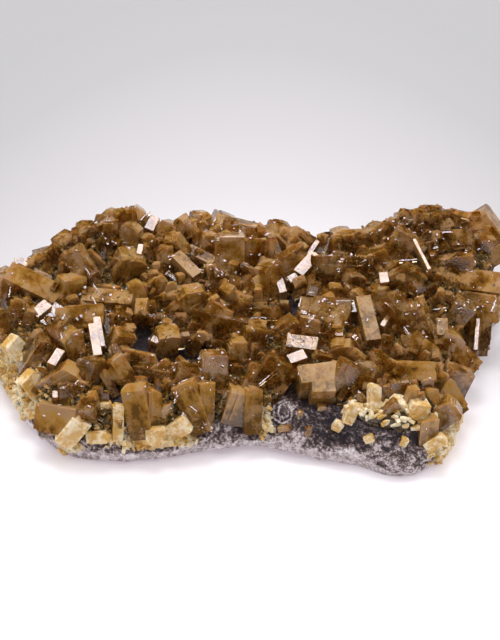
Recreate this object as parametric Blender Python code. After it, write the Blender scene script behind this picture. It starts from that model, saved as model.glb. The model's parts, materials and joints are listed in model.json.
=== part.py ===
"""Barite crystal cluster: dark rock under a crust of blocky, golden-brown barite crystals grown into one another.

Lengths are millimetres in this file and become metres as each mesh is made. X runs along the plate, Y from its
front to its back and Z up. Z = 0 is the flat underside that the rock rests on.
"""

import math
import random
from collections import namedtuple

import bmesh
import bpy
from mathutils import Matrix, Vector, noise

MM = 0.001

# The rock, in mm
CENTRE = Vector((0.0, -6.0))        # the point that the rings of the rock run around
PLATEAU = 21.0                      # height of the rock's top away from its edges
RIM_HEIGHT = 8.5                    # height of the rock's shoulder all round
SHOULDER = 15.0                     # how far in from the rim the top reaches the plateau at the front and the ends
BACK_SHOULDER = 5.5                 # the same at the back, which is steeper
ARCH_HEIGHT = 2.0                   # rise of the underside in the middle of the front
LUMP = 1.7                          # height of the lumps on the rock's top
SIDE_LUMP = 2.0                     # depth of the hollows and bulges round its side
CLEARANCE = 0.35                    # gap between the crystals and the rock
ROCK_RAYS = 48
ROCK_RINGS = (0.4, 0.68, 0.82, 0.9, 0.96)

# The crystals, in mm and degrees
CRUST_DEPTH = 5.8                   # the intergrown roots of the crystals over the rock
CRUST_EDGE_DEPTH = 2.2              # the same along the outer edge of the crust
CANOPY = 7.5                        # height of the crystals' middles over the rock
CRUST_RAYS = 32
CRUST_RINGS = (0.5, 0.8, 1.0)
FILL_SPACING = 8.8
FILL_SEED = 17
MAIN_OVER = 6.0                     # pixels that a corner may stand over the outline, in the view's own pixels
FILL_OVER = 1.0

# The view that the crystals' places were read from: it looks along +Y and down, and its rays come from one point
VIEW_TILT = math.radians(40.0)
VIEW_DISTANCE = 850.0
VIEW_TARGET = Vector((0.0, -6.0, 20.0))
VIEW_SCALE = 0.4                    # mm at the target for one pixel
VIEW_CENTRE_PX = (250.0, 322.0)
RIGHT = Vector((1.0, 0.0, 0.0))
UPWARD = Vector((0.0, math.sin(VIEW_TILT), math.cos(VIEW_TILT)))
TOWARDS = Vector((0.0, -math.cos(VIEW_TILT), math.sin(VIEW_TILT)))

# The direction that the bright, flat faces look in: a little towards the front from straight up. The dim ones are
# turned aside from it.
BRIGHT_FACE = Vector((0.0, -0.28, 0.96)).normalized()
BRIGHT = "bright"
DIM = "dim"
DIM_TURN = math.radians(8.0)

# The rim of the rock in plan, anticlockwise from its right end
RIM = (
    (100, 12), (104, 27), (99, 41), (84, 49), (62, 50), (40, 47), (18, 45), (-5, 45), (-28, 46), (-50, 48),
    (-70, 42), (-88, 32), (-103, 18), (-107, 1), (-100, -19.5), (-93, -31.5), (-87, -46), (-78, -57), (-70, -64),
    (-58, -66), (-42, -66), (-21, -62.5), (2, -60), (23, -65), (42, -69), (54, -75), (66, -73), (75, -63),
    (79, -51), (84, -30), (88, -9),
)

# A crystal seen in the view: the pixel of its middle, its length, width and thickness, the turn of its length
# clockwise from straight up, its lean towards the viewer, and its spin about its length. With BRIGHT or DIM for a
# lean, its widest face looks in the direction of the bright or the dim faces.
Crystal = namedtuple("Crystal", "px py length width thickness turn lean spin")

BACK_CRYSTALS = (
    (112, 222, 9, 8, 7, -15, 20, 25), (99, 228, 9, 7, 6, 30, 10, -20), (86, 236, 10, 8, 6, 10, 30, 20),
    (71, 243, 10, 9, 7, -20, 30, 30), (50, 258, 13, 10, 8, -10, 20, 15), (30, 268, 9, 8, 7, 60, 20, -20),
    (134, 220, 11, 12, 7, 52, 5, 12), (152, 224, 7, 4, 5, 20, BRIGHT, 0), (109, 240, 13, 6, 6, 5, 15, 20),
    (128, 247, 14, 8, 7, 8, 20, -15), (147, 251, 10, 6, 6, 5, 15, 20), (140, 250, 5, 2.2, 4, 8, BRIGHT, 0),
    (161, 236, 11, 8, 7, 40, 20, -15), (175, 235, 13, 8, 7, 58, 15, 20), (200, 227, 11, 6, 6, 5, 15, 30),
    (219, 228, 12, 9, 7, 24, 10, 15), (240, 233, 11, 9, 7, 105, 15, 20), (262, 236, 11, 8, 7, 80, 20, -20),
    (279, 237, 10, 9, 8, 20, 25, 30), (302, 241, 10, 8, 7, -60, 30, 20), (326, 241, 9, 7, 6, 30, 25, 30),
    (341, 244, 12, 8, 8, 4, 15, 12), (362, 244, 11, 9, 7, 90, 20, 25), (383, 236, 11, 9, 8, -30, 20, 20),
    (404, 220, 11, 8, 7, 8, 15, 10), (434, 218, 11, 9, 9, 15, 20, 40), (459, 222, 11, 9, 7, 90, 15, -20),
    (486, 231, 19, 13, 10, -38, 15, -25), (420, 226, 9, 6, 6, 10, 25, 30),
)
LEFT_CRYSTALS = (
    (5, 280, 11, 9, 7, -15, 20, 20), (7, 297, 13, 7, 6, 5, 15, 30), (21, 264, 5.5, 4.5, 6, 85, BRIGHT, 0),
    (38, 286, 20, 9, 8, 116, 5, -25),
    (41, 310, 8, 4.5, 6, 38, BRIGHT, 0), (30, 327, 12, 9, 7, 20, 30, 20), (9, 330, 12, 9, 7, -30, 30, 20),
    (84, 273, 20, 8, 7, -30, 10, -20), (72, 294, 11, 10, 8, 10, 20, 35), (111, 298, 17, 7, 7, 95, 15, -35),
    (83, 318, 16, 10, 8, 86, 10, -20), (95, 341, 15, 3.5, 7, -6, BRIGHT, 0), (99, 333, 14, 3, 6, -6, BRIGHT, 0),
    (116, 326, 10, 7, 7, 40, 25, 25), (65, 345, 14, 7, 6, -15, 25, 40), (41, 358, 12, 9, 7, 35, 20, 25),
    (56, 358, 8, 3.5, 5, 24, BRIGHT, 0), (76, 353, 14, 8, 7, -15, 25, 20), (20, 352, 11, 9, 7, -40, 35, 20),
    (61, 381, 12, 9, 7, 60, 30, 20), (84, 377, 12, 9, 7, 20, 25, -30), (35, 388, 11, 9, 6, -35, 35, 20),
    (53, 425, 14, 11, 7, 100, 20, 10), (69, 399, 11, 8, 7, 4, 18, 15), (55, 395, 3.2, 2, 3, 0, BRIGHT, 0),
    (74, 431, 13, 9, 7, 40, 20, 25), (99, 437, 9, 6, 6, 88, 20, 10), (106, 412, 8, 5, 5, 0, 15, 10),
    (118, 421, 14, 5, 5, 2, 15, 15),
)
MIDDLE_CRYSTALS = (
    (127, 273, 12, 11, 9, 30, 30, 30), (156, 291, 10, 8, 7, 10, 25, 20), (168, 303, 9, 7, 6, 70, 20, 25),
    (186, 266, 13, 5, 9, -36, DIM, 0), (208, 254, 13, 6, 6, 4, 15, 25), (229, 263, 21, 12, 10, 1, 12, 6),
    (193, 289, 8, 9, 8, 2, 30, 15), (193, 309, 12, 12, 9, -4, 25, 12), (251, 261, 17, 8, 7, 10, 10, -30),
    (273, 286, 18, 9, 8, -5, 15, 35), (280, 283, 11, 3, 7, -12, BRIGHT, 0), (223, 329, 19, 12, 9, 102, 15, 8),
    (171, 320, 10, 5, 6, 88, 20, -30), (119, 349, 11, 8, 7, 30, 25, 30), (166, 347, 10, 9, 8, 20, 35, 25),
    (103, 374, 9, 6, 6, -22, 20, 15), (127, 376, 13, 6, 6, -32, 15, 20), (141, 365, 9, 4, 5, 95, 15, 20),
    (156, 379, 11, 9, 7, 100, 25, 25), (214, 377, 14, 10, 8, 2, 20, 12), (237, 361, 13, 7, 7, 4, 15, 10),
    (182, 386, 12, 9, 7, 30, 25, 25), (137, 410, 17, 9, 8, -10, 15, -15), (154, 409, 14, 5, 6, 2, 15, 20),
    (167, 413, 7, 6, 6, -20, 30, 20), (191, 405, 17, 9, 7, -22, 10, -15), (206, 402, 14, 6, 7, 2, 10, 20),
    (178, 429, 10, 8, 7, 60, 25, 20), (150, 436, 10, 8, 7, 100, 20, 20), (238, 405, 12, 10, 8, 20, 20, 20),
    (253, 408, 15, 6.5, 7, 2, 15, 15), (271, 381, 14, 13, 9, 36, 10, 12), (297, 358, 7, 4.5, 6, 62, BRIGHT, 0),
    (302, 344, 12, 6, 8, 102, BRIGHT, 0), (327, 316, 17, 15, 9, 95, 12, -22), (262, 319, 12, 9, 8, 92, 20, 10),
    (307, 265, 12, 4.8, 8, 32, BRIGHT, 0), (313, 249, 8, 2, 5, 26, BRIGHT, 0), (293, 279, 4, 3.5, 5, 55, BRIGHT, 0),
    (297, 273, 12, 10, 8, 60, 10, 20), (340, 269, 17, 11, 9, 92, 10, 8), (370, 264, 13, 9, 8, 70, 15, 20),
    (352, 308, 5, 5, 5, 0, BRIGHT, 0), (350, 290, 11, 8, 7, 30, 20, 25), (319, 374, 16, 8, 8, 74, DIM, 0),
    (323, 387, 9, 6, 7, 84, DIM, 0), (340, 385, 14, 8, 7, 30, 15, 20), (252, 346, 13, 9, 8, 20, 25, 20),
    (279, 335, 12, 8, 7, 60, 20, 20),
)
RIGHT_CRYSTALS = (
    (368, 320, 21, 6, 9, -6, DIM, 0), (381, 302, 9, 7, 7, -6, 20, 30), (391, 315, 14, 2, 8, 26, BRIGHT, 0),
    (384, 279, 5, 3.6, 6, -8, BRIGHT, 0), (398, 250, 13, 9, 8, 35, 15, 15), (422, 257, 16, 1.3, 11, -20, BRIGHT, 0),
    (451, 239, 13, 7, 7, 86, 20, -15), (476, 248, 7, 5, 7, 62, DIM, 0), (486, 262, 7, 3, 6, -15, BRIGHT, 0),
    (451, 264, 14, 6, 7, 84, 15, 20), (469, 281, 25, 9, 9, 97, 8, -20), (471, 304, 22, 11, 8, 100, 15, 20),
    (406, 325, 25, 8, 10, -28, 10, 30), (420, 331, 20, 10, 8, -26, 12, -25), (442, 328, 8, 4.5, 6, 2, DIM, 0),
    (455, 318, 12, 9, 8, 40, 20, 20), (482, 333, 13, 10, 8, 4, 12, 25), (477, 336, 15, 1.6, 7, 2, BRIGHT, 0),
    (464, 361, 16, 9, 8, -48, 10, 15), (447, 350, 11, 9, 8, 30, 20, 20), (416, 372, 15, 8, 8, 92, 15, -15),
    (398, 394, 10, 8, 7, 10, 20, 15), (358, 384, 14, 10, 8, 25, 15, -20), (375, 403, 15, 5, 6, 2, 12, 15),
    (352, 413, 8, 5, 5, 24, 15, 15), (396, 409, 9, 7, 7, 50, 25, 25), (417, 415, 11, 9, 8, 20, 25, 25),
    (428, 430, 9, 7, 7, 5, 20, 15), (449, 420, 11, 9, 8, 60, 20, 20), (456, 388, 11, 10, 8, 25, 20, 20),
    (456, 404, 12, 9, 8, -30, 15, 20), (434, 402, 11, 5, 6, -15, 15, 15), (440, 447, 8, 5, 6, 60, 15, 10),
    (427, 350, 12, 9, 8, -60, 20, 20), (403, 280, 12, 10, 8, 60, 20, 20),
)

# The outline of the crystals against the background in the view, in pixels from left to right
SKYLINE = (
    (0, 270), (14, 262), (36, 253), (42, 244), (64, 242), (66, 231), (80, 222), (96, 219), (106, 212), (132, 204),
    (149, 214), (160, 221), (182, 217), (198, 214), (210, 211), (230, 220), (270, 223), (284, 224), (306, 231),
    (320, 235), (334, 229), (352, 231), (369, 232), (374, 225), (392, 216), (400, 206), (413, 212), (430, 203),
    (444, 203), (456, 211), (471, 209), (482, 204), (499, 214),
)

# The crystals that stand alone on the bare rock of the front: their name, pixel, size and directions
LONE_CRYSTALS = (
    ("lone_crystal_golden_upper", 321, 408, 3.6, 3.2, 3.2, 20, 25, 20),
    ("lone_crystal_golden_disc_side", 300, 413, 2.8, 2.4, 2.6, 10, 30, 20),
    ("lone_crystal_golden_low_left", 285, 428, 4.2, 2.2, 2.6, 80, 20, 15),
    ("lone_crystal_golden_low_middle", 308, 430, 3.4, 2.4, 2.6, 10, 25, 20),
    ("lone_crystal_cream_middle", 338, 425, 3.8, 3.6, 3.0, 35, 25, 20),
    ("lone_crystal_cream_low_right", 370, 438, 3.6, 3.0, 2.8, 70, 25, 20),
    ("lone_crystal_cream_right", 404, 441, 3.2, 2.8, 2.8, 30, 25, 20),
)


def rim_radius(angle):
    """Distance from the centre to the rim in one direction, on the smooth curve through the rim's points."""
    points = [Vector(p) - CENTRE for p in RIM]
    turns = [(math.atan2(p.y, p.x) - math.atan2(points[0].y, points[0].x)) % math.tau for p in points]
    turn = (angle - math.atan2(points[0].y, points[0].x)) % math.tau
    count = len(points)
    here = max(i for i in range(count) if turns[i] <= turn)
    span = (turns[(here + 1) % count] - turns[here]) % math.tau
    t = (turn - turns[here]) / span
    a, b, c, d = (points[(here + k) % count].length for k in (-1, 0, 1, 2))
    return 0.5 * (2 * b + (c - a) * t + (2 * a - 5 * b + 4 * c - d) * t * t + (3 * b - a - 3 * c + d) * t ** 3)


RADII = [rim_radius(math.radians(degree)) for degree in range(360)]


def radius(angle):
    """Rim radius read between whole degrees."""
    degrees = math.degrees(angle) % 360.0
    low = int(degrees)
    return RADII[low % 360] + (RADII[(low + 1) % 360] - RADII[low % 360]) * (degrees - low)


def bump(value, middle, width):
    """A smooth hill of height 1."""
    return math.exp(-((value - middle) / width) ** 2)


def smooth(value):
    """0 below 0, 1 above 1, and an even curve between them."""
    value = min(max(value, 0.0), 1.0)
    return value * value * (3.0 - 2.0 * value)


def plan(angle, fraction):
    """The point at this share of the way from the centre to the rim."""
    reach = radius(angle) * fraction
    return CENTRE.x + reach * math.cos(angle), CENTRE.y + reach * math.sin(angle)


def ring_fraction(x, y):
    """The share of the way from the centre to the rim at which a point lies, and its direction."""
    angle = math.atan2(y - CENTRE.y, x - CENTRE.x)
    return math.hypot(x - CENTRE.x, y - CENTRE.y) / radius(angle), angle


def ground(x, y):
    """Height of the rock's top without its lumps and shoulder: two rises at the back and a dip between them."""
    rise = 10.0 * bump(x, -50, 30) * bump(y, 34, 24) + 12.0 * bump(x, 74, 27) * bump(y, 32, 30)
    dip = 2.0 * bump(x, 26, 22) * bump(y, 40, 20)
    return PLATEAU + rise - dip + 0.04 * y


def rock_top(x, y):
    """Height of the rock's top, which falls to the shoulder near the rim."""
    fraction, angle = ring_fraction(x, y)
    inside = (1.0 - fraction) * radius(angle)
    shoulder = SHOULDER + (BACK_SHOULDER - SHOULDER) * smooth(math.sin(angle) / 0.6)
    return RIM_HEIGHT + (ground(x, y) - RIM_HEIGHT) * smooth(0.12 + inside / shoulder)


def canopy(x, y, rise=CANOPY):
    """The surface that the middles of the crystals lie on. It stays high at the back, where the rock falls away."""
    fraction, angle = ring_fraction(x, y)
    inside = (1.0 - fraction) * radius(angle)
    share = max(smooth(0.2 + inside / 20.0), smooth((math.sin(angle) - 0.1) / 0.5))
    return RIM_HEIGHT + (ground(x, y) - RIM_HEIGHT) * share + rise


def seen_point(px, py, surface):
    """The point of a surface that the view shows at a pixel."""
    across = (px - VIEW_CENTRE_PX[0]) * VIEW_SCALE / VIEW_DISTANCE
    up = (VIEW_CENTRE_PX[1] - py) * VIEW_SCALE / VIEW_DISTANCE
    start = VIEW_TARGET + TOWARDS * VIEW_DISTANCE
    ray = RIGHT * across + UPWARD * up - TOWARDS
    near, far = VIEW_DISTANCE - 150.0, VIEW_DISTANCE + 150.0
    for _ in range(40):
        middle = (near + far) / 2.0
        point = start + ray * middle
        if point.z > surface(point.x, point.y):
            near = middle
        else:
            far = middle
    return start + ray * near


def pixel_of(point):
    """Where the view shows a point."""
    offset = point - VIEW_TARGET - TOWARDS * VIEW_DISTANCE
    scale = -VIEW_DISTANCE / (VIEW_SCALE * offset.dot(TOWARDS))
    return VIEW_CENTRE_PX[0] + offset.dot(RIGHT) * scale, VIEW_CENTRE_PX[1] - offset.dot(UPWARD) * scale


def skyline(px):
    """Height in the view of the crystals' outline against the background."""
    for (left, start), (right, end) in zip(SKYLINE, SKYLINE[1:]):
        if px <= right:
            return start + (end - start) * (px - left) / (right - left)
    return SKYLINE[-1][1]


def sink(size, matrix, over):
    """Lower a crystal in the view until no corner of it stands more than so many pixels over the outline there."""
    length, width, thickness = (value / 2.0 for value in size)
    corners = [(x * width, y * thickness, z * length) for x in (-1, 1) for y in (-1, 1) for z in (-1, 1)]
    seen = [pixel_of(matrix @ Vector(corner)) for corner in corners]
    excess = max(skyline(px) - py for px, py in seen) - over
    if excess > 0.0:
        matrix.translation -= UPWARD * excess * VIEW_SCALE


def axes_from_view(turn, lean, spin):
    """Directions of a crystal's width, thickness and length from how it is seen."""
    turn = math.radians(turn)
    in_picture = RIGHT * math.sin(turn) + UPWARD * math.cos(turn)
    if lean in (BRIGHT, DIM):
        face = Matrix.Rotation(DIM_TURN if lean == DIM else 0.0, 3, "Y") @ BRIGHT_FACE
        length = (in_picture - face * in_picture.dot(face)).normalized()
    else:
        lean = math.radians(lean)
        length = in_picture * math.cos(lean) + TOWARDS * math.sin(lean)
        face = (TOWARDS - length * TOWARDS.dot(length)).normalized()
        face = Matrix.Rotation(math.radians(spin), 3, length) @ face
    return face.cross(length), face, length


def placement(at, axes):
    """Matrix that takes a crystal's own X, Y and Z to its width, thickness and length."""
    width, thickness, length = axes
    matrix = Matrix((width, thickness, length)).transposed().to_4x4()
    matrix.translation = at
    return matrix


def crystal_mesh(size, matrix, cut):
    """A closed block whose outer end has two slanting faces, each over a share of half its width."""
    length, width, thickness = (value / 2.0 for value in size)
    outline = [(-width, -length), (width, -length), (width, length - cut * width)]
    if cut:
        outline += [(width * (1.0 - cut), length), (-width * (1.0 - cut), length)]
    outline.append((-width, length - cut * width))
    bm = bmesh.new()
    fronts, backs = (
        [bm.verts.new(matrix @ Vector((x, side * thickness, z)) * MM) for x, z in outline] for side in (-1.0, 1.0)
    )
    bm.faces.new(fronts)
    bm.faces.new(backs[::-1])
    for i in range(len(outline)):
        j = (i + 1) % len(outline)
        bm.faces.new((fronts[i], backs[i], backs[j], fronts[j]))
    bmesh.ops.recalc_face_normals(bm, faces=bm.faces)
    mesh = bpy.data.meshes.new("Crystal")
    bm.to_mesh(mesh)
    bm.free()
    return mesh


def main_crystals():
    """The crystals read from the view, as size, matrix and end cut."""
    rng = random.Random(FILL_SEED)
    for row in BACK_CRYSTALS + LEFT_CRYSTALS + MIDDLE_CRYSTALS + RIGHT_CRYSTALS:
        crystal = Crystal(*row)
        rise = min(CANOPY, 0.42 * crystal.length)
        at = seen_point(crystal.px, crystal.py, lambda x, y: canopy(x, y, rise))
        axes = axes_from_view(crystal.turn, crystal.lean, crystal.spin)
        at -= axes[1] * crystal.thickness * 0.3
        size = (crystal.length, crystal.width, crystal.thickness)
        cut = 0.0 if crystal.lean in (BRIGHT, DIM) else rng.choice((0.0, 0.35, 0.55))
        matrix = placement(at, axes)
        sink(size, matrix, MAIN_OVER)
        yield size, matrix, cut


def fill_crystals(taken):
    """Crystals between and behind the others, on a jittered grid over all the crust."""
    rng = random.Random(FILL_SEED)
    row_step = FILL_SPACING * math.sqrt(0.75)
    for row in range(-9, 9):
        for column in range(-13, 14):
            x = (column + 0.5 * (row % 2)) * FILL_SPACING + rng.uniform(-2.2, 2.2)
            y = row * row_step + rng.uniform(-2.2, 2.2)
            length, width, thickness = rng.uniform(9, 14), rng.uniform(6, 9), rng.uniform(5, 7.5)
            lean, heading = abs(rng.gauss(0.0, 38.0)), rng.uniform(0.0, math.tau)
            spin, cut = rng.uniform(0.0, math.pi), rng.choice((0.0, 0.4, 0.6))
            fraction, angle = ring_fraction(x, y)
            if fraction > crust_edge(angle) - 0.02:
                continue
            at = Vector((x, y, rock_top(x, y) + CANOPY * 0.75))
            if any((at - other).length < reach for other, reach in taken):
                continue
            outward = smooth((fraction - 0.6) / 0.4)
            upright = Vector((math.cos(angle) * outward, math.sin(angle) * outward, 1.0)).normalized()
            tipped = Vector((math.cos(heading), math.sin(heading), 0.0)) * math.sin(math.radians(lean))
            axis = (upright * math.cos(math.radians(lean)) + tipped).normalized()
            side = axis.orthogonal().normalized()
            side = Matrix.Rotation(spin, 3, axis) @ side
            size, matrix = (length, width, thickness), placement(at, (side.cross(axis), side, axis))
            sink(size, matrix, FILL_OVER)
            yield size, matrix, cut


def crust_edge(angle):
    """The share of the way to the rim that the crust covers. The front is bare to the right of its middle."""
    x, y = plan(angle, 1.0)
    front = smooth((-y - 20.0) / 20.0)
    bare = 0.34 * bump(x, 27, 17) + 0.09 * bump(x, 56, 15) + 0.05 * bump(x, -8, 18)
    return 0.97 - front * bare


def underside(x, y):
    """Height of the rock's underside, which arches up in the middle of the front."""
    return ARCH_HEIGHT * bump(x, 2, 30) * smooth((-y - 34.0) / 16.0)


def lump(x, y, z, size=11.0):
    """Noise from -1 to 1 that makes lumps of the given size."""
    return noise.fractal(Vector((x, y, z)) / size, 0.8, 2.1, 3)


def ringed_mesh(rings, name):
    """A closed mesh from rings of points, all of one count, ordered from the middle of the top to that of the base."""
    mesh = bpy.data.meshes.new(name)
    bm = bmesh.new()
    rows = [[bm.verts.new(Vector(point) * MM) for point in ring] for ring in rings[1:-1]]
    first, last = (bm.verts.new(Vector(ring[0]) * MM) for ring in (rings[0], rings[-1]))
    count = len(rows[0])
    for i in range(count):
        j = (i + 1) % count
        bm.faces.new((first, rows[0][i], rows[0][j]))
        bm.faces.new((last, rows[-1][j], rows[-1][i]))
        for upper, lower in zip(rows, rows[1:]):
            bm.faces.new((upper[i], lower[i], lower[j], upper[j]))
    bmesh.ops.triangulate(bm, faces=[face for face in bm.faces if len(face.verts) > 3])
    bm.to_mesh(mesh)
    bm.free()
    return mesh


def rock_mesh(name, growth=0.0):
    """The rock. Growth in mm moves its whole surface out, for the space that the crystals keep clear of it."""
    angles = [math.tau * i / ROCK_RAYS for i in range(ROCK_RAYS)]
    rings = [[(CENTRE.x, CENTRE.y, rock_top(*CENTRE))]]
    for fraction in ROCK_RINGS:
        ring = []
        for angle in angles:
            x, y = plan(angle, fraction)
            z = rock_top(x, y)
            ring.append((x, y, z + LUMP * lump(x, y, z)))
        rings.append(ring)
    for fraction, share in ((1.0, 0.86), (1.005, 0.45), (0.985, 0.12)):
        ring = []
        for angle in angles:
            x, y = plan(angle, fraction)
            low = underside(x, y)
            z = low + (RIM_HEIGHT - low) * share
            push = 1.0 + SIDE_LUMP * lump(x, y, z, 9.0) / radius(angle)
            ring.append((CENTRE.x + (x - CENTRE.x) * push, CENTRE.y + (y - CENTRE.y) * push, z))
        rings.append(ring)
    for fraction in (0.94, 0.7):
        points = [plan(angle, fraction) for angle in angles]
        rings.append([(x, y, underside(x, y)) for x, y in points])
    rings.append([(CENTRE.x, CENTRE.y, 0.0)])
    mesh = ringed_mesh(rings, name)
    if growth:
        for vertex in mesh.vertices:
            vertex.co += vertex.normal * growth * MM
    return mesh


def crust_mesh(name):
    """The intergrown roots of the crystals: a sheet over the rock that sinks into it, to be cut to the rock later."""
    angles = [math.tau * i / CRUST_RAYS for i in range(CRUST_RAYS)]
    upper, lower = [[(CENTRE.x, CENTRE.y, rock_top(*CENTRE) + CRUST_DEPTH)]], []
    for share in CRUST_RINGS:
        points = [plan(angle, crust_edge(angle) * share) for angle in angles]
        depth = CRUST_DEPTH if share < 1.0 else CRUST_EDGE_DEPTH
        upper.append([(x, y, rock_top(x, y) + depth * (1.0 + 0.3 * lump(x, y, 0.0, 6.0))) for x, y in points])
        lower.append([(x, y, rock_top(x, y) - 2.5) for x, y in points])
    lower.reverse()
    return ringed_mesh(upper + lower + [[(CENTRE.x, CENTRE.y, rock_top(*CENTRE) - 2.5)]], name)


def add_object(name, mesh, collection=None):
    """An object in the scene, shaded flat. One in a collection of its own only shapes other objects."""
    thing = bpy.data.objects.new(name, mesh)
    (collection or bpy.context.collection).objects.link(thing)
    if collection:
        thing.hide_render = True
        thing.display_type = "WIRE"
    return thing


def boolean(thing, operation, other):
    """A Boolean modifier on an object, with another object or a collection of blocks.

    The exact solver leaves edges that four faces share where several crystals meet, so these use the manifold one.
    """
    modifier = thing.modifiers.new(operation.title(), "BOOLEAN")
    modifier.operation = operation
    modifier.solver = "MANIFOLD"
    if isinstance(other, bpy.types.Collection):
        modifier.operand_type = "COLLECTION"
        modifier.collection = other
    else:
        modifier.object = other


def shell_volume(faces):
    """Signed volume of one closed shell."""
    total = 0.0
    for face in faces:
        first, *others = (vertex.co for vertex in face.verts)
        total += sum(first.dot(b.cross(c)) for b, c in zip(others, others[1:])) / 6.0
    return total


def keep_main_shell(mesh):
    """Drop loose crystals and closed hollows: what stays is the one outer shell."""
    bm = bmesh.new()
    bm.from_mesh(mesh)
    left, shells = set(bm.faces), []
    while left:
        stack = [left.pop()]
        shell = []
        while stack:
            face = stack.pop()
            shell.append(face)
            for edge in face.edges:
                for near in edge.link_faces:
                    if near in left:
                        left.remove(near)
                        stack.append(near)
        shells.append(shell)
    shells.sort(key=shell_volume)
    extra = [face for shell in shells[:-1] for face in shell]
    bmesh.ops.delete(bm, geom=extra, context="FACES")
    bm.to_mesh(mesh)
    bm.free()


def settle(thing, material):
    """Replace an object's mesh by what its modifiers make of it."""
    graph = bpy.context.evaluated_depsgraph_get()
    mesh = bpy.data.meshes.new_from_object(thing.evaluated_get(graph))
    thing.modifiers.clear()
    thing.data = mesh
    keep_main_shell(mesh)
    mesh.materials.clear()
    mesh.materials.append(material)


def make_material(name, colour, roughness):
    """A plain material. The colour is linear."""
    material = bpy.data.materials.new(name)
    material.use_nodes = True
    shader = material.node_tree.nodes["Principled BSDF"]
    shader.inputs["Base Color"].default_value = (*colour, 1.0)
    shader.inputs["Roughness"].default_value = roughness
    shader.inputs["Metallic"].default_value = 0.0
    return material


def add_collection(name):
    """A collection for the blocks that one solid is made from."""
    collection = bpy.data.collections.new(name)
    bpy.context.scene.collection.children.link(collection)
    return collection


def build_rock():
    """The host rock and the space around it that the crystals keep clear."""
    rock = add_object("rock_matrix", rock_mesh("Rock"))
    rock.data.materials.append(make_material("Dark rock", (0.075, 0.045, 0.05), 0.85))
    clear = add_object("Rock clearance", rock_mesh("Rock clearance", CLEARANCE), add_collection("Clearance"))
    return rock, clear


def build_crystals(clear):
    """The crust of grown-together crystals, as one solid that lies over the rock."""
    barite = make_material("Golden barite", (0.32, 0.15, 0.035), 0.25)
    mains = list(main_crystals())
    taken = [(matrix.translation, 0.42 * size[0] + 2.4) for size, matrix, _ in mains]
    blocks = add_collection("Crystals")
    for crystal in mains + list(fill_crystals(taken)):
        add_object("Crystal", crystal_mesh(*crystal), blocks)
    crystals = add_object("barite_crystals", crust_mesh("Crust"))
    boolean(crystals, "UNION", blocks)
    boolean(crystals, "DIFFERENCE", clear)
    settle(crystals, barite)
    return crystals


def build_lone_crystals(clear):
    """The single crystals on the bare rock, each cut to the rock under it."""
    golden = make_material("Golden barite, single", (0.35, 0.2, 0.05), 0.3)
    cream = make_material("Cream barite, single", (0.6, 0.45, 0.25), 0.5)
    singles = []
    for name, px, py, length, width, thickness, turn, lean, spin in LONE_CRYSTALS:
        matrix = placement(seen_point(px, py, rock_top), axes_from_view(turn, lean, spin))
        single = add_object(name, crystal_mesh((length, width, thickness), matrix, 0.4))
        boolean(single, "DIFFERENCE", clear)
        settle(single, cream if "cream" in name else golden)
        singles.append(single)
    return singles


def centre_on_base(things):
    """Move everything so that the middle of its base is the origin."""
    corners = [vertex.co for thing in things for vertex in thing.data.vertices]
    low = Vector([min(corner[i] for corner in corners) for i in range(3)])
    high = Vector([max(corner[i] for corner in corners) for i in range(3)])
    shift = Vector((-(low.x + high.x) / 2.0, -(low.y + high.y) / 2.0, -low.z))
    for thing in things:
        thing.data.transform(Matrix.Translation(shift))


def main():
    for thing in list(bpy.data.objects):
        bpy.data.objects.remove(thing, do_unlink=True)
    rock, clear = build_rock()
    crystals = build_crystals(clear)
    singles = build_lone_crystals(clear)
    centre_on_base([rock, crystals, *singles])


if __name__ == "__main__":
    main()
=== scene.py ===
"""Barite crystal cluster as it looks: golden-brown barite on dark rock, in a plain white studio.

Design lengths are millimetres in the functions and become metres as each mesh is made. X runs along the
plate, Y from its front to its back and Z up.
"""

import json
import math
import random
from collections import namedtuple

import bmesh
import bpy
from mathutils import Euler, Matrix, Vector, noise

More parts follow.
